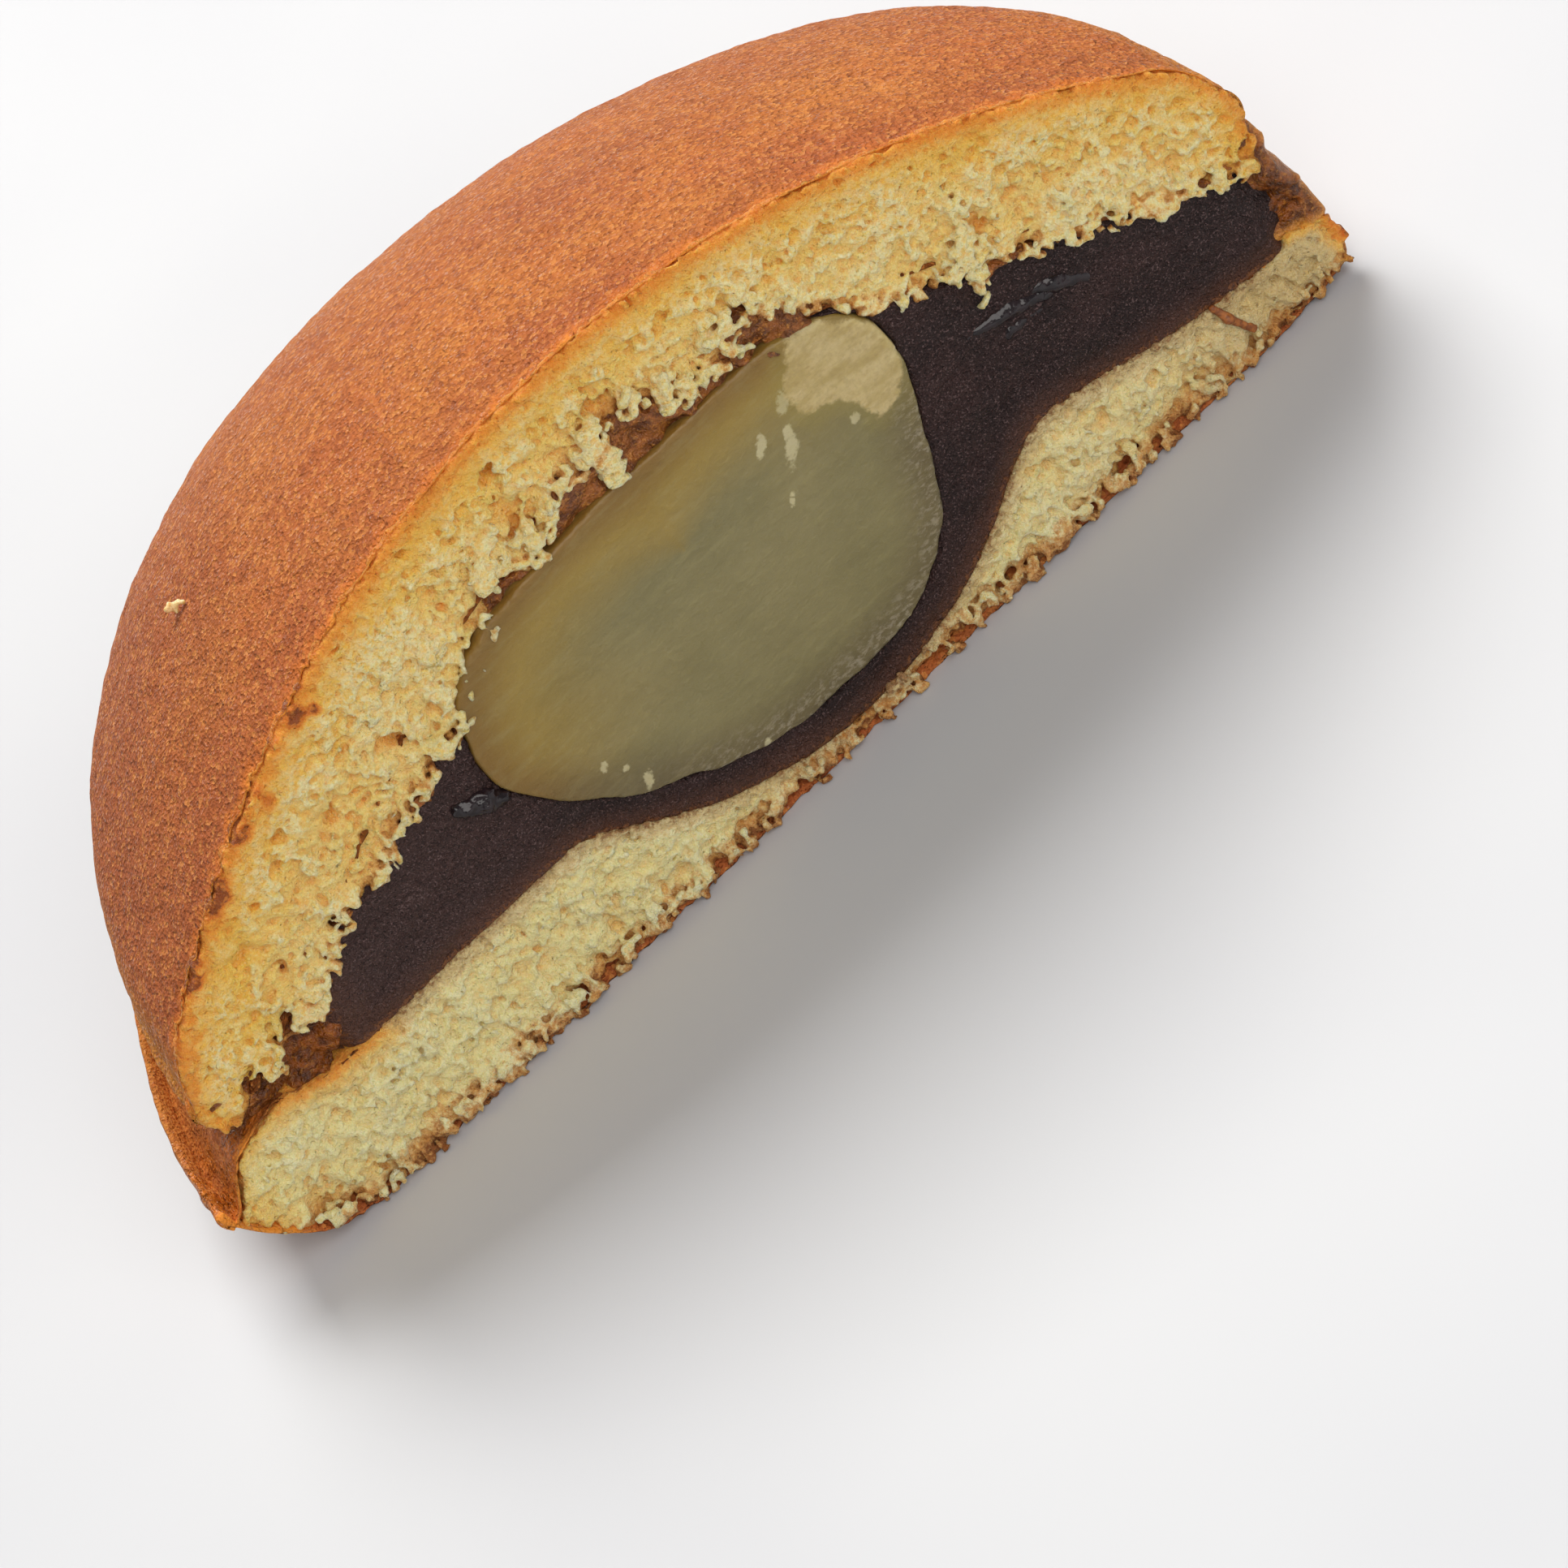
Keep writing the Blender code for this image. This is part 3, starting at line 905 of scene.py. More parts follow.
def bottom_colours(points, w):
    """The same for the bottom cake, whose upper side is stained, with glaze at both ends of the cut."""
    x, y, z = points.T
    inside = bottom_inside(x, y)
    patchy = step(noise(points, 1.3, 67), -0.6, 0.2)
    rim = 0.85 * step(-x, 36, 41) * (1 - step(y, 3, 10)) * patchy * step(y, 0.2, 1.0)
    notch = step(x, 37.5, 39.5) * (1 - step(y, 3, 7)) * step(w, 0.5, 0.8)
    return {
        "edge": np.clip(y - LIP + 2.5 * (1 - step(z, 1.0, 3.5)), 0, EDGE_LIMIT),
        "gold": 0.55 * (1 - step(inside, -0.4, 2.5)) * step(z, 2.0, 5.0),
        "inner": step(w, 0.6, 0.9) * step(inside, 4.0, 6.0) * (1 - notch),
        "baked_and_shade": 0.4 + 0 * x,
        "glaze": np.maximum(rim, notch),
    }


# The bottom cake's browned side bulges a little less than the solid's
SIDE_BULGE = BOTTOM_BULGE - 0.25


def build_crusts():
    form = TOP_CENTRE, TOP_RADIUS, TOP_DEPTH, TOP_BULGE, vault, dome
    crust("top_crust", "cake_top", TOP_GRID, form, top_torn, top_colours)
    form = BOTTOM_CENTRE, BOTTOM_RADIUS, BOTTOM_DEPTH, SIDE_BULGE, under_side, bed
    crust("bottom_crust", "cake_bottom", BOTTOM_GRID, form, bottom_torn, bottom_colours)


# ---------------------------------------------------------------- torn crumb

# The block of places that crumb is worked out on, how far forward it may reach, and where its surface lies
PITCH = 0.13
SLAB_FRONT = -0.6
SLAB_BACK = 2.9
FOREMOST = -0.34
SET_BACK = 0.28


def torn_front(axes, amount, seed):
    """How far each place of a block lies behind the torn surface of the cut."""
    y = spread(axes)[1]
    flat = flat_of(axes)
    waves = 0.12 * block_noise(flat, 3.5, seed) + 0.10 * block_noise(flat, 1.3, seed + 1)
    torn = 0.12 * block_noise(axes, (0.7, 0.7, 0.9), seed + 2) + 0.05 * block_noise(axes, 0.27, seed + 3)
    return np.minimum(y - SET_BACK - waves * np.minimum(amount, 1) + amount * torn, y - FOREMOST)


def cells(rng, axes, inside, depth, share, count, radii, sunk):
    """Round cells that open in the torn surface. share is how likely each place keeps its cell."""
    places = rng.uniform([axis[0] for axis in axes], [axis[-1] for axis in axes], (count, 3))
    places[:, 1] = SET_BACK
    sizes = radii[0] + (radii[1] - radii[0]) * rng.random(count) ** 2
    pitch = axes[0][1] - axes[0][0]
    index = tuple(((places[:, k] - axes[k][0]) / pitch).astype(int) for k in range(3))
    kept = (inside[index] > sizes * 0.8 + 0.2) & (rng.random(count) < share[index])
    places[:, 1] += sizes * rng.uniform(*sunk, count) - depth[index]
    return np.column_stack([places, sizes])[kept]


def pit(rng, x, z, size):
    """An uneven pit of a few round cells."""
    aside = rng.normal(0, 0.45 * size, (4, 3)) * (1, 0.4, 1)
    return np.column_stack([aside + (x, 0.5, z), size * rng.uniform(0.5, 0.9, 4)])


def clump(rng, start, end, radii):
    """A ragged cluster of grains along a line, thick as radii at its two ends."""
    start, end = np.array(start), np.array(end)
    count = int(14 + 30 * np.linalg.norm(end - start))
    t = rng.random(count)
    size = mix(radii[0], radii[1], t)
    aside = rng.normal(0, 0.5, (count, 3)) * size[:, None]
    return np.column_stack([mix(start, end, t[:, None]) + aside, size * rng.uniform(0.22, 0.55, count)])


# Large pits of the two crumbs, painted golden and darker as shade by the crumb look: x, height and radius
TOP_PITS = (
    (-3.0, 33.5, 0.7), (9.9, 32.9, 0.5), (-17.8, 24.1, 0.8), (-26.2, 25.3, 0.6), (-27.3, 24.0, 0.4),
    (-32.6, 20.7, 0.65), (-10.4, 30.9, 0.4), (-22.0, 22.4, 0.35), (20.5, 29.4, 0.35), (27.0, 24.5, 0.35),
    (-24.4, 20.4, 0.35),
)
BOTTOM_PITS = (
    (-31.2, 6.6, 0.45), (29.1, 4.7, 0.4), (-12.0, 7.0, 0.35), (-36.0, 5.0, 0.35), (22.4, 4.1, 0.35),
    (18.0, 4.6, 0.3),
)

# Shreds and clumps at the top cake's torn lower edge: two places and two radii each
TOP_CLUMPS = (
    ((25.6, 0.4, 22.3), (25.2, 0.1, 19.3), (0.9, 0.5)),
    ((25.2, 0.1, 19.3), (24.0, 0.1, 17.3), (0.5, 0.25)),
    ((24.6, 0.3, 22.0), (23.7, 0.1, 20.2), (0.7, 0.35)),
    ((26.9, 0.4, 21.4), (26.6, 0.2, 19.8), (0.7, 0.35)),
    ((39.3, 0.4, 12.6), (39.8, 0.1, 10.8), (0.6, 0.3)),
    ((31.9, 0.4, 18.4), (31.5, 0.1, 17.0), (0.6, 0.35)),
    ((2.6, 0.5, 31.0), (2.0, 0.1, 28.6), (0.9, 0.9)),
    ((2.0, 0.1, 28.4), (2.2, 0.1, 26.8), (0.8, 0.45)),
    ((5.6, 0.5, 31.0), (5.2, 0.2, 29.9), (0.7, 0.55)),
    ((7.4, 0.5, 30.0), (6.7, 0.2, 28.3), (0.8, 0.5)),
    ((8.6, 0.5, 29.0), (8.2, 0.2, 27.9), (0.8, 0.5)),
    ((11.8, 0.5, 30.4), (11.9, 0.1, 28.6), (0.8, 0.75)),
    ((11.9, 0.1, 28.4), (11.7, 0.1, 27.3), (0.65, 0.4)),
    ((-3.6, 0.4, 29.4), (-4.1, 0.1, 28.0), (0.8, 0.6)),
    ((-4.1, 0.2, 27.6), (-4.1, 0.2, 25.6), (0.4, 0.22)),
    ((-7.6, 0.4, 29.2), (-7.9, 0.1, 28.0), (0.8, 0.6)),
    ((14.4, 0.5, 30.2), (14.3, 0.2, 29.2), (0.6, 0.4)),
    ((16.0, 0.5, 28.9), (15.9, 0.2, 27.8), (0.6, 0.4)),
)

# The torn lower edge of the top crumb: places along the cut, and how far it hangs below the vault there
EDGE_ALONG = (
    -41, -38, -36, -35, -33, -31.4, -29, -27, -24, -22, -20, -18, -16.4, -15, -14, -12.6, -10.5, -9, -8,
    -5.5, -2.7, -1.2, 0.6, 2.9, 4.6, 7, 7.8, 9, 11, 12.3, 14, 17, 19, 24, 30, 36, 43,
)
EDGE_HANGS = (
    0.1, -0.6, 0.4, -0.1, 0.5, 1.6, 1.0, 0.5, 2.1, 1.8, 2.3, 3.0, 2.4, 3.2, 3.2, 2.2, 1.3, 1.0, 0.3,
    1.1, 1.2, -1.2, -0.3, -1.4, -1.6, -0.8, 0.4, 0.5, -0.6, -2.4, -2.4, -1, 1, 1.7, 0.9, 1.1, 1.4,
)

# Dark scraps of crust that reach into the crumb: x, height and radius
ISLANDS = ((-20.6, 30.6, 0.9), (-19.7, 30.2, 0.5), (-27.6, 27.3, 0.9), (-31.3, 24.9, 1.1), (-35.6, 21.9, 0.7))

# Cells of the two crumbs: how many are tried, their radii, and how deep they lie as a share of their radius
TOP_CELLS = ((7000, (0.2, 0.38), (-0.6, 0.2)), (400, (0.3, 0.5), (-0.5, 0.3)))
BOTTOM_CELLS = ((4500, (0.18, 0.34), (-0.6, 0.2)), (160, (0.28, 0.45), (-0.5, 0.3)))
TOP_FINE_CELLS = (16000, (0.13, 0.24), (-0.6, 0.1))
BOTTOM_FINE_CELLS = (11000, (0.13, 0.24), (-0.6, 0.1))
TOP_LOOSE_CLUMPS = 170
BOTTOM_LOOSE_CLUMPS = 190

# How much the mesh of crumb may be thinned out, the most that a slope counts, and no stain at all
CRUMB_MESH = 0.3
TOP_STEEPEST = 2.2
BOTTOM_STEEPEST = 1.6
UNSTAINED = 9.0


def hang(x):
    """How far the top crumb's torn edge hangs below the vault."""
    return np.interp(x, EDGE_ALONG, EDGE_HANGS)


def top_clumps(rng):
    """The top crumb's shreds and clumps, and small clumps strewn along its torn lower edge."""
    rows = [clump(rng, *row) for row in TOP_CLUMPS]
    for x in rng.uniform(-38, 42, TOP_LOOSE_CLUMPS):
        top = bare_vault(x, 0) * lean(x, 0) - hang(x) + rng.uniform(-0.2, 0.5)
        down = rng.uniform(0.2, 0.8)
        size = rng.uniform(0.25, 0.55)
        y = rng.uniform(0.1, 0.5)
        end = (x + rng.normal(0, 0.2), y, top - down)
        rows.append(clump(rng, (x, y + 0.1, top), end, (size, 0.6 * size)))
    return rows


def bottom_clumps(rng):
    """Small clumps strewn along the bottom crumb's ragged lower edge."""
    rows = []
    for x in rng.uniform(-41.5, 42.3, BOTTOM_LOOSE_CLUMPS):
        low = sole(x, 0) + rng.uniform(0.15, 1.5)
        place = np.array((x, rng.uniform(0.05, 0.35), low))
        size = rng.uniform(0.25, 0.6)
        rows.append(clump(rng, place, place + rng.normal(0, 0.3, 3) * (1, 0.2, 0.6), (size, 0.7 * size)))
    return rows


def crumble(rng, axes, whole, depth, share, fringe, large, pits, clumps, small, seed, limit):
    """The surface of torn crumb.

    whole is how far each place lies inside the cake, depth how far behind the tear, share how likely a cell
    opens there, and fringe how loose the lower edge is.
    """
    field = np.minimum(whole, depth)
    for row in large:
        carve(field, axes, cells(rng, axes, whole, depth, share, *row))
    for row in pits:
        carve(field, axes, pit(rng, *row))
    knob(field, axes, np.concatenate(clumps(rng)))
    blur(field, 0.5)
    carve(field, axes, cells(rng, axes, whole, depth, share * (1 - 0.7 * fringe), *small))
    blur(field, 0.2)
    field += (0.07 + 0.03 * fringe) * block_noise(axes, 0.26, seed)
    np.minimum(field, np.minimum(limit, spread(axes)[1] - FOREMOST), out=field)
    return surface(field, axes, CRUMB_MESH)


def top_crumb():
    axes = axes_of((-42.5, SLAB_FRONT, 9.0), (44.0, SLAB_BACK, 37.5), PITCH)
    x, y, z = spread(axes)
    rise = lean(x, y)
    at_cut = axes[0].astype(float)
    within = np.clip(at_cut, TOP_CENTRE - TOP_RADIUS, TOP_CENTRE + TOP_RADIUS)
    slope = np.minimum(steep(dome(within, 0), at_cut), TOP_STEEPEST)
    high = dome(within[:, None, None], y) * rise
    low = vault(x, y) * rise
    up = (high - z) / slope
    down = (z - low) / steep(bare_vault(at_cut, 0), at_cut)
    under = depth_below(z, low, high, slope, top_inside(x, y), TOP_BULGE)
    rag = 0.34 * block_noise(axes, (1.4, 2.0, 1.4), 21) + 0.22 * block_noise(axes, 0.55, 22)
    along = np.column_stack([at_cut, np.full(len(at_cut), 0.5), dome(within, 0.5)])
    lip = (LIP + top_torn(along))[:, None, None]
    wavy = crust_relief(along)[:, None, None] + 0.03 * block_noise(axes, 0.6, 28)
    edge = under + 0.05 + wavy - CRUST_DEEPER * step(y - lip, 0.35, 1.2)
    lower = down + hang(x) - rag
    coarse = step(up, 1.2, 6.5) * (1 - 0.6 * step(-x, 31, 36) * step(down, 1.0, 3.0))
    fringe = 1 - step(lower, 0.4, 2.6)
    depth = torn_front(axes, mix(0.40, 1.0, coarse) + 0.5 * fringe, 11)
    share = 0.06 + 0.74 * coarse + 0.2 * fringe
    rng = np.random.default_rng(31)
    points, faces = crumble(
        rng, axes, np.minimum(edge, lower), depth, share, fringe,
        TOP_CELLS, TOP_PITS, top_clumps, TOP_FINE_CELLS, 26, np.inf,
    )
    px, py, pz = points.T
    lift = lean(px, py)
    across = np.interp(px, at_cut, slope.ravel())
    low, high = vault(px, py) * lift, dome(px, py) * lift
    crusted = depth_below(pz, low, high, across, top_inside(px, py), TOP_BULGE)
    crusted = np.maximum(crusted, -0.1) + 0.9 * np.maximum(LIP + top_torn(points) - py, 0) - 0.2
    tongues = np.maximum(noise(points, 2.2, 65) + 0.5 * noise(points, 0.8, 75) - 0.15, 0)
    crusted -= 2.2 * tongues * step(-px, 10, 18)
    for x_island, z_island, size in ISLANDS:
        away = np.hypot(px - x_island, pz - z_island) / size + 0.5 * noise(points, 0.7, 70)
        crusted -= 1.7 * (1 - step(away, 0.2, 1.2))
    above = pz - low + hang(px)
    toasted = np.maximum(above + 0.35, -1.5 * (above + 0.7))
    make(
        "top_crumb", points, faces, TOP_CRUMB, "cake_top",
        crust=crusted,
        stained=UNSTAINED + 0 * px,
        brown=toasted + 0.35 * noise(points, 2.0, 68) + 1.2 * step(0.35 - py, -0.1, 0.35),
        deep=py - SET_BACK,
        golden=np.clip(step(6.5 - crusted, 0, 5.5) + step(-px, 30, 38), 0, 1),
        moist=0 * px,
    )


# The syrup-stained skin at the right end of the bottom cake lies above a line from here, falling to the right
NOTCH_LINE = (38.5, 6.3)
NOTCH_SLOPE = 0.36

# The soaked skin that joins the two cakes at the right end of the cut: how far it reaches at each height
SEAM_HEIGHTS = (3.6, 4.4, 4.9, 6.2, 7.8, 8.9, 10.4, 12.0)
SEAM_REACH = (42.8, 43.4, 43.5, 43.5, 43.4, 43.1, 42.8, 43.0)
SEAM_LIMIT = 43.3
SEAM_FRONT = 0.5
SEAM_BACK = 4.4
SYRUP_CENTRE = (41.5, 7.6)
SYRUP_SIZE = (1.2, 2.4)


def notch_line(x):
    return NOTCH_LINE[1] - NOTCH_SLOPE * (x - NOTCH_LINE[0])


def bottom_crumb():
    axes = axes_of((-45.5, SLAB_FRONT, -0.3), (44.3, SLAB_BACK, 13.6), PITCH)
    x, y, z = spread(axes)
    rise = lean(x, y)
    at_cut = axes[0].astype(float)
    within = np.clip(at_cut, BOTTOM_CENTRE - BOTTOM_RADIUS, BOTTOM_CENTRE + BOTTOM_RADIUS)
    up = (bed(x, y) * rise - z) / np.minimum(steep(bed(within, 0), at_cut), BOTTOM_STEEPEST)
    down = (z - under_side(x, y) * rise) / np.minimum(steep(sole(within, 0), at_cut), BOTTOM_STEEPEST)
    up = np.maximum(up, np.minimum(notch_line(x) - 0.1 - z, x - 40.0))
    side = bottom_inside(x, y) + 0.3 * step(x, 40, 42) + 0 * z
    w = np.clip((z - sole(x, y) * rise) / (bed(x, y) * rise - sole(x, y) * rise), 0, 1)
    side = side + SIDE_BULGE * 4 * w * (1 - w) - SHRINK + 0.04 * block_noise(axes, 0.6, 29)
    rag = 0.34 * block_noise(axes, (1.3, 2.0, 1.1), 23) + 0.26 * block_noise(axes, 0.55, 24)
    lower = down - np.maximum(0.4 + rag, 0.0) * step(side, 0.5, 2.5)
    left_tip = step(-x, 36.5, 39.0)
    behind_lip = CRUST_DEEPER * step(y + 0.5 * left_tip, 0.6, 1.2)
    edge = np.minimum(up - 0.05 - left_tip * (0.1 + behind_lip), side + 0.04 - behind_lip)
    coarse = step(up, 0.5, 3.0)
    fringe = 1 - step(down, 0.8, 2.8)
    depth = torn_front(axes, mix(0.30, 0.9, coarse) + 0.6 * fringe, 15)
    share = 0.1 + 0.7 * coarse + 0.2 * fringe
    rng = np.random.default_rng(32)
    points, faces = crumble(
        rng, axes, np.minimum(edge, lower), depth, share, fringe,
        BOTTOM_CELLS, BOTTOM_PITS, bottom_clumps, BOTTOM_FINE_CELLS, 25, np.minimum(z - 0.02, SEAM_LIMIT - x),
    )
    px, py, pz = points.T
    lift = lean(px, py)
    above = pz - sole(px, py) * lift
    crusted = bottom_inside(px, py) * mix(1.0, 2.2, step(px, 20, 40)) - 0.3
    crusted = crusted + 0.5 * noise(points, 1.1, 72) * step(-px, 38, 41)
    crusted += 0.4 * np.maximum(0.7 - py, 0)
    syrup = notch_line(px) - pz + 3 * step(38.5 - px, 0, 1)
    crusted = np.minimum(crusted, np.maximum(3 * syrup, -0.7) + 0.6 * noise(points, 0.7, 73))
    sunk = bed(px, py) * lift - pz + 0.1
    sunk_crust = 1.2 * sunk + 0.1 + 0.4 * noise(points, 0.8, 74) + 4 * step(px, -30.0, -26.5)
    toasted = 0.8 * above - 0.1 + 0.6 * noise(points, 2.4, 69)
    make(
        "bottom_crumb", points, faces, BOTTOM_CRUMB, "cake_bottom",
        crust=np.minimum(crusted, sunk_crust),
        stained=sunk + 4 * step(-px, 29, 32) + 4 * step(px, 38, 39),
        brown=toasted + 0.3 * step(0.3 - py, -0.05, 0.35) + step(-px, 39, 42),
        deep=py - SET_BACK,
        golden=0.15 + 0.6 * step(-px, 38, 43),
        # Darker and greyer towards the right: partly soaked crumb, partly painted shade
        moist=0.1 * step(px, 12, 24) + 0.6 * step(px, 28, 38),
    )


SKIN_DEPTH = 0.5
SKIN_PITCH = 0.16
FLESH_PITCH = 0.17
LUMP_PITCH = 0.07


def torn_skin():
    """The browned inner skin of the top cake, over the chestnut and in the crevice at the left end."""
    axes = axes_of((-41.5, -0.2, 4.0), (41.5, 3.0, 31.5), SKIN_PITCH)
    x, y, z = spread(axes)
    rise = lean(x, y)
    above = z - bare_vault(x, y) * rise
    to_egg = -egg_distance(x, 0 * y, z / rise)
    over_egg = step(x, -16, -12) * (1 - step(x, 15.5, 18.5))
    crevice = step(-x, 29.5, 34.0)
    band = above + hang(x) + 0.3 + 0.25 * block_noise(axes, 1.2, 71)
    band = np.where(over_egg > 0.5, to_egg + 1.2, band)
    band = mix(band, z - bed(x, y) * rise + 0.3, crevice)
    band = np.minimum(2.8 - above, band)
    inside = np.minimum(np.minimum(top_inside(x, y) - 0.5, 41.0 - x), 9) + 0 * z
    torn = 0.22 * block_noise(axes, 1.1, 72) + mix(0.18, 0.07, crevice) * block_noise(axes, 0.45, 73)
    torn = torn + 0.16 * crevice * block_noise(axes, (1.5, 1.5, 0.32), 75)
    behind = 1.1 * step(above + hang(x), -0.2, 0.5) * (1 - crevice)
    back = SKIN_DEPTH + behind + crevice * mix(0.8, 0.4, step(-x, 34, 40))
    field = np.minimum(np.minimum(band, inside), np.minimum(y - back + torn, y - 0.22))
    points, faces = surface(field, axes, 0.15)
    px, py, pz = points.T
    soaked = step(-px, 29.0, 31.0) * mix(0.95, 0.35, step(-px, 33.5, 38.5))
    above_bed = pz - bed(px, py) * lean(px, py) + 1.5 + 4 * step(px, -33.5, -31)
    make("torn_skin", points, faces, SYRUP, "cake_top", syrup=soaked, rim=np.maximum(above_bed, 0))


def seam():
    axes = axes_of((38.4, -0.2, 2.6), (44.3, 5.2, 13.2), PITCH)
    x, y, z = spread(axes)
    reach = np.interp(axes[2], SEAM_HEIGHTS, SEAM_REACH)[None, None, :]
    reach = reach - 0.25 * np.maximum(y - 1.5, 0) - 0.5 * step(y, 2.6, 4.4)
    out = np.minimum(reach - x + 0.10 * block_noise(axes, 0.7, 81), SEAM_LIMIT - x)
    above = z - (notch_line(x) - 0.5)
    below = vault(x, y) * lean(x, y) + 0.6 - z
    torn = 0.24 * block_noise(axes, 0.9, 82) + 0.12 * block_noise(axes, 0.4, 83)
    front = SEAM_FRONT + 0.6 * fillet(out, 1.2) + 0.5 * (1 - step(x, 40.8, 42.4))
    field = np.minimum(np.minimum(out, np.minimum(above, below)), np.minimum(y - front + torn, SEAM_BACK - y))
    points, faces = surface(np.minimum(field, x - 38.8), axes, 0.1)
    px, py, pz = points.T
    edge = np.interp(pz, SEAM_HEIGHTS, SEAM_REACH) - px
    syrup = np.hypot((px - SYRUP_CENTRE[0]) / SYRUP_SIZE[0], (pz - SYRUP_CENTRE[1]) / SYRUP_SIZE[1])
    syrup = (1 - step(syrup + 0.3 * noise(points, 0.8, 84), 0.7, 1.2)) * (1 - step(py, 2.5, 3.5))
    low = pz - notch_line(px)
    golden = np.maximum(1.4 * np.minimum(edge, low + 0.2) + 0.5 * step(pz, 7, 9), 0)
    golden = mix(golden, 0.62, step(py, 0.9, 1.8))
    make("seam_skin", points, faces, SYRUP, "cake_bottom", syrup=syrup, rim=golden)


# ---------------------------------------------------------------- bean paste and chestnut

PASTE_FRONT = 0.38
PASTE_GRID = (270, 12, 70)
PASTE_BULGE = 1.2
FLESH_FRONT = 0.14
PATCH_CENTRE = (15.8, 21.4)
PATCH_SIZE = (3.4, 2.7)
PATCH_SQUARE = 3.5
BITE_BELOW = 4.5
BITE_RADIUS = 2.5

# Whitish flecks on the chestnut: x, height, and half their width and height as the camera sees them
FLECKS = (
    (11.8, 22.6, 0.4, 0.9), (9.2, 21.4, 0.35, 0.8), (10.4, 19.7, 0.45, 1.1), (10.9, 20.8, 0.3, 0.6),
    (-10.1, 12.5, 0.3, 0.4), (-9.2, 11.3, 0.25, 0.3), (-8.7, 9.5, 0.3, 0.6), (-2.2, 5.2, 0.22, 0.3),
    (8.6, 17.2, 0.2, 0.7), (14.4, 18.2, 0.3, 0.5),
)


def paste_low(x, y):
    return bed(x, y) - 0.1


def paste_high(x, y):
    return np.maximum(bare_vault(x, y) - 0.1, paste_low(x, y) + 0.2)


def build_paste():
    shares = [even_ends(count, share) for count, share in zip(PASTE_GRID, (0.1, 0.5, 0.2))]
    form = PASTE_CENTRE, PASTE_RADIUS, PASTE_DEPTH, PASTE_BULGE, paste_low, paste_high
    points, quads, u, front, w, thick = slab(shares, *form)
    x, _, z = points.T
    rounding = fillet(PASTE_RADIUS * (1 - np.abs(u)), np.where(u > 0, 0.6, 1.5))
    smear = 0.18 * noise(points * (0.5, 1, 1.6), 2.4, 41) + 0.09 * noise(points, 0.8, 42)
    well = 5.0 * step(egg_distance(x, 0 * x, z), 0.0, 0.5)
    under_crumb = 2.4 * step(z - bare_vault(x, 0) + hang(x), -0.2, 0.5)
    over_egg = step(x, -15, -12.5) * (1 - step(x, 15, 17)) * step(z, 23, 24.5)
    under_crumb = np.maximum(under_crumb, 2.0 * over_egg)
    points[front, 1] = (PASTE_FRONT + rounding + smear + well + under_crumb)[front]
    points[:, 2] *= lean(points[:, 0], points[:, 1])
    rim = np.minimum(thick * w, np.minimum(0.5 * PASTE_RADIUS * (1 + u), 9))
    # lit marks the left part of the paste, which is painted lighter as painted light
    make("paste", points, [quads], PASTE, "bean_paste", rim=rim, lit=0.7 * step(-points[:, 0], 8, 24))


def as_seen(points, centre):
    """Places on the cut seen from the camera: to the right and up from a centre."""
    dx, dz = points[:, 0] - centre[0], (points[:, 2] - centre[1]) * math.cos(ELEVATION)
    return math.cos(ROLL) * dx - math.sin(ROLL) * dz, math.sin(ROLL) * dx + math.cos(ROLL) * dz


def fleck_share(points):
    """How far each point is from the nearest whitish fleck: 1 at its edge."""
    near = []
    for x, z, half_width, half_height in FLECKS:
        right, up = as_seen(points, (x, z))
        near.append(np.hypot(right / half_width, up / half_height))
    return np.minimum(np.min(near, axis=0) + 0.35 * noise(points, 0.5, 56), 4)


def patch_share(points):
    """How far each point is from the cream patch's middle: 1 at its edge, a rounded square bitten below."""
    right, up = as_seen(points, PATCH_CENTRE)
    wide, high = np.abs(right / PATCH_SIZE[0]), np.abs(up / PATCH_SIZE[1])
    square = (wide**PATCH_SQUARE + high**PATCH_SQUARE) ** (1 / PATCH_SQUARE)
    bite = 1 + (BITE_RADIUS - np.hypot(right, up + BITE_BELOW)) / BITE_RADIUS
    ragged = 0.10 * noise(points, 1.6, 54) + 0.06 * noise(points, 0.6, 55)
    return np.minimum(np.maximum(square, bite) + ragged, 3)


def build_chestnut():
    axes = axes_of((-16.2, -0.6, 3.2), (20.2, 16.2, 27.6), FLESH_PITCH)
    x, y, z = spread(axes)
    body = egg_distance(x, y, z / lean(x, y))
    flat = flat_of(axes)
    front = 0.10 * block_noise(flat, 6.0, 51) + 0.03 * block_noise(flat, (1.8, 1, 0.9), 52)
    wavy = 0.06 * block_noise(axes, 0.9, 53) * (1 - step(y, 1, 3))
    fuzz = 0.02 * block_noise(flat, 0.2, 57)
    field = smooth_min(body + wavy, y - front - fuzz - FLESH_FRONT, 0.3)
    points, faces = surface(field, axes, 0.012)
    px, py, pz = points.T
    rim = egg_distance(px, 0 * py, pz)
    make(
        "chestnut_flesh", points, faces, FLESH, "chestnut",
        patch=patch_share(points) + 3 * (py > 1),
        warm=0.95 * (1 - step(rim, 0.0, 13.0)) * step(pz - 0.3 * px, 12, 22),
        rim=rim,
        frost=step((px - 2) * 0.5 - (pz - 14), -2, 6),
        fleck=fleck_share(points) + 3 * (py > 1),
    )


# ---------------------------------------------------------------- small pieces

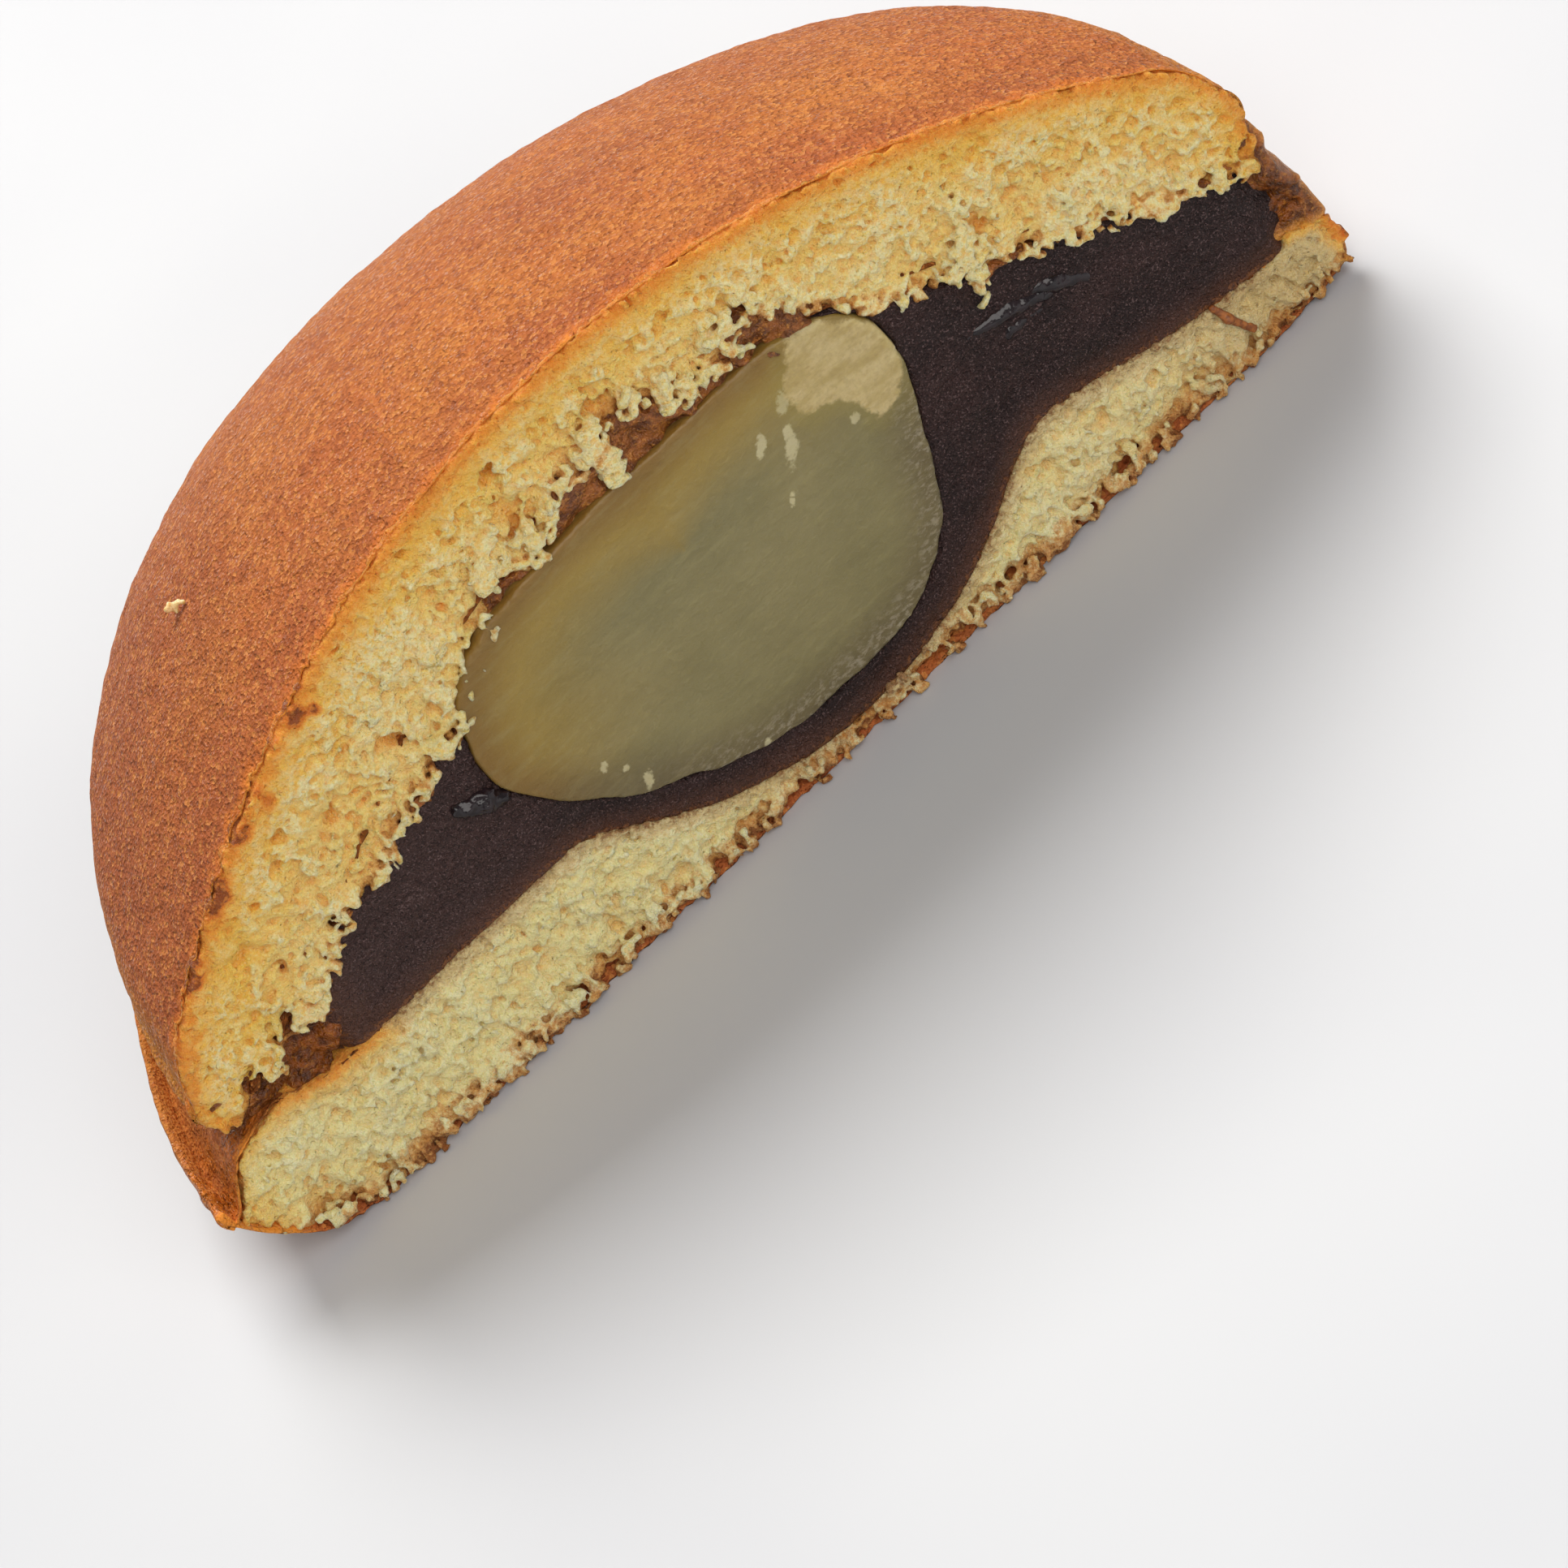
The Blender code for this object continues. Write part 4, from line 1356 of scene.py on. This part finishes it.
# The rods of small pieces that lie at the cut: two places and two radii each
AZUKI_SKIN = (
    ((-17.9, 0.6, 17.6), (-16.4, 0.65, 16.6), (0.6, 0.85)),
    ((-16.4, 0.65, 16.6), (-15.4, 0.6, 15.9), (0.85, 0.55)),
)
SKIN_FOLD = (
    ((27.6, 0.85, 14.6), (25.4, 0.75, 15.8), (0.5, 0.65)),
    ((25.4, 0.75, 15.8), (22.4, 0.85, 16.4), (0.65, 0.5)),
    ((26.6, 0.85, 14.2), (24.4, 0.8, 14.6), (0.45, 0.5)),
)
SKIN_SHRED = (
    ((29.8, 0.85, 13.6), (28.3, 0.75, 14.9), (0.5, 0.65)),
    ((28.3, 0.75, 14.9), (27.0, 0.85, 15.8), (0.65, 0.5)),
)
BROWN_STRAND = (
    ((34.3, 0.3, 5.4), (34.6, 0.1, 4.2), (0.22, 0.27)),
    ((34.6, 0.1, 4.2), (35.4, 0.2, 2.2), (0.27, 0.24)),
)
STUCK_CRUMB = (-21.4, 16.2)
LUMP_MARGIN = 1.3
OUTSIDE = -9.0


def lump(name, node, look, rods, ragged):
    """A small piece of tapered rods with a rough surface."""
    ends = np.array([end for start, stop, radii in rods for end in (start, stop)])
    axes = axes_of(ends.min(axis=0) - LUMP_MARGIN, ends.max(axis=0) + LUMP_MARGIN, LUMP_PITCH)
    field = np.full([len(axis) for axis in axes], OUTSIDE)
    for start, stop, radii in rods:
        field = rod(field, axes, start, stop, radii)
    wrinkles = ragged * (block_noise(axes, 0.22, len(name)) + block_noise(axes, 0.5, len(name) + 1))
    points, faces = surface(field + wrinkles, axes, 0.05)
    make(name, points, faces, look, node)


def build_small_pieces():
    lump("azuki_skin", "bean_paste", SKIN, AZUKI_SKIN, 0.05)
    lump("skin_fold", "bean_paste", SKIN, SKIN_FOLD, 0.03)
    lump("skin_shred", "bean_paste", SKIN, SKIN_SHRED, 0.03)
    lump("brown_strand", "cake_bottom", TOAST, BROWN_STRAND, 0.02)
    x, y = (np.array(value) for value in STUCK_CRUMB)
    z = float(dome(x, y) * lean(x, y))
    rods = (((x - 0.3, y, z + 0.15), (x + 0.35, y - 0.2, z + 0.25), (0.38, 0.26)),)
    lump("stuck_crumb", "cake_top", PALE, rods, 0.09)


# ---------------------------------------------------------------- floor, lights and camera

SENSOR = 36
CLIP_START = 0.01
FLOOR_SIZE = 3.0
LIGHT_AIM = 0.015


def add_camera():
    right = Vector((math.cos(AZIMUTH), math.sin(AZIMUTH), 0))
    flat = math.cos(ELEVATION)
    forward = Vector((-math.sin(AZIMUTH) * flat, math.cos(AZIMUTH) * flat, -math.sin(ELEVATION)))
    up = right.cross(forward)
    camera = bpy.data.objects.new("camera", bpy.data.cameras.new("camera"))
    bpy.context.scene.collection.objects.link(camera)
    place = (-DISTANCE * forward - AIM[0] * right - AIM[1] * up) * MM + SHIFT
    rolled_right = math.cos(ROLL) * right - math.sin(ROLL) * up
    rolled_up = math.sin(ROLL) * right + math.cos(ROLL) * up
    turn = Matrix((rolled_right, rolled_up, -forward)).transposed().to_4x4()
    turn.translation = place - Vector((AIM_BEHIND * MM, 0, 0))
    camera.matrix_world = turn
    camera.data.sensor_width = SENSOR
    camera.data.lens = SENSOR * DISTANCE / WIDTH_AT_AIM
    camera.data.clip_start = CLIP_START
    bpy.context.scene.camera = camera


def add_floor():
    bpy.ops.mesh.primitive_plane_add(size=FLOOR_SIZE)
    floor = bpy.context.object
    floor.name = "floor"
    look = Look("pale_floor")
    colour = look.paint((206, 208, 211), (look.noise(60.0, 2.0), 0.3, 0.7, 1.0, (200, 202, 206)))
    look.set(Base_Color=colour, Roughness=0.5)
    floor.data.materials.append(look.material)


def add_light(name, direction, distance, size, power, colour):
    """A soft square light, that far from the food in a direction, facing it. Sizes in metres."""
    data = bpy.data.lights.new(name, "AREA")
    data.size = size
    data.energy = power
    data.color = colour
    light = bpy.data.objects.new(name, data)
    bpy.context.scene.collection.objects.link(light)
    away = Vector(direction).normalized()
    light.location = away * distance + Vector((0, 0, LIGHT_AIM))
    light.rotation_euler = away.to_track_quat("Z", "Y").to_euler()


def add_lights():
    add_light("key", (0.15, 0.7, 1.0), 0.8, 0.5, 7.0, (1.0, 0.98, 0.95))
    add_light("low", (0.0, 1.0, 0.2), 0.8, 0.35, 1.3, (1.0, 0.92, 0.8))
    add_light("front", (0.2, -1.0, 0.8), 0.9, 0.8, 5.4, (1.0, 0.96, 0.92))
    world = bpy.data.worlds.new("studio")
    bpy.context.scene.world = world
    world.use_nodes = True
    sky = world.node_tree.nodes["Background"].inputs
    sky["Color"].default_value = (0.95, 0.96, 1.0, 1)
    sky["Strength"].default_value = 0.22
    bpy.context.scene.view_settings.view_transform = "Standard"


# ---------------------------------------------------------------- all of it

add_camera()
add_floor()
add_lights()
build_crusts()
top_crumb()
bottom_crumb()
torn_skin()
seam()
build_paste()
build_chestnut()
build_small_pieces()
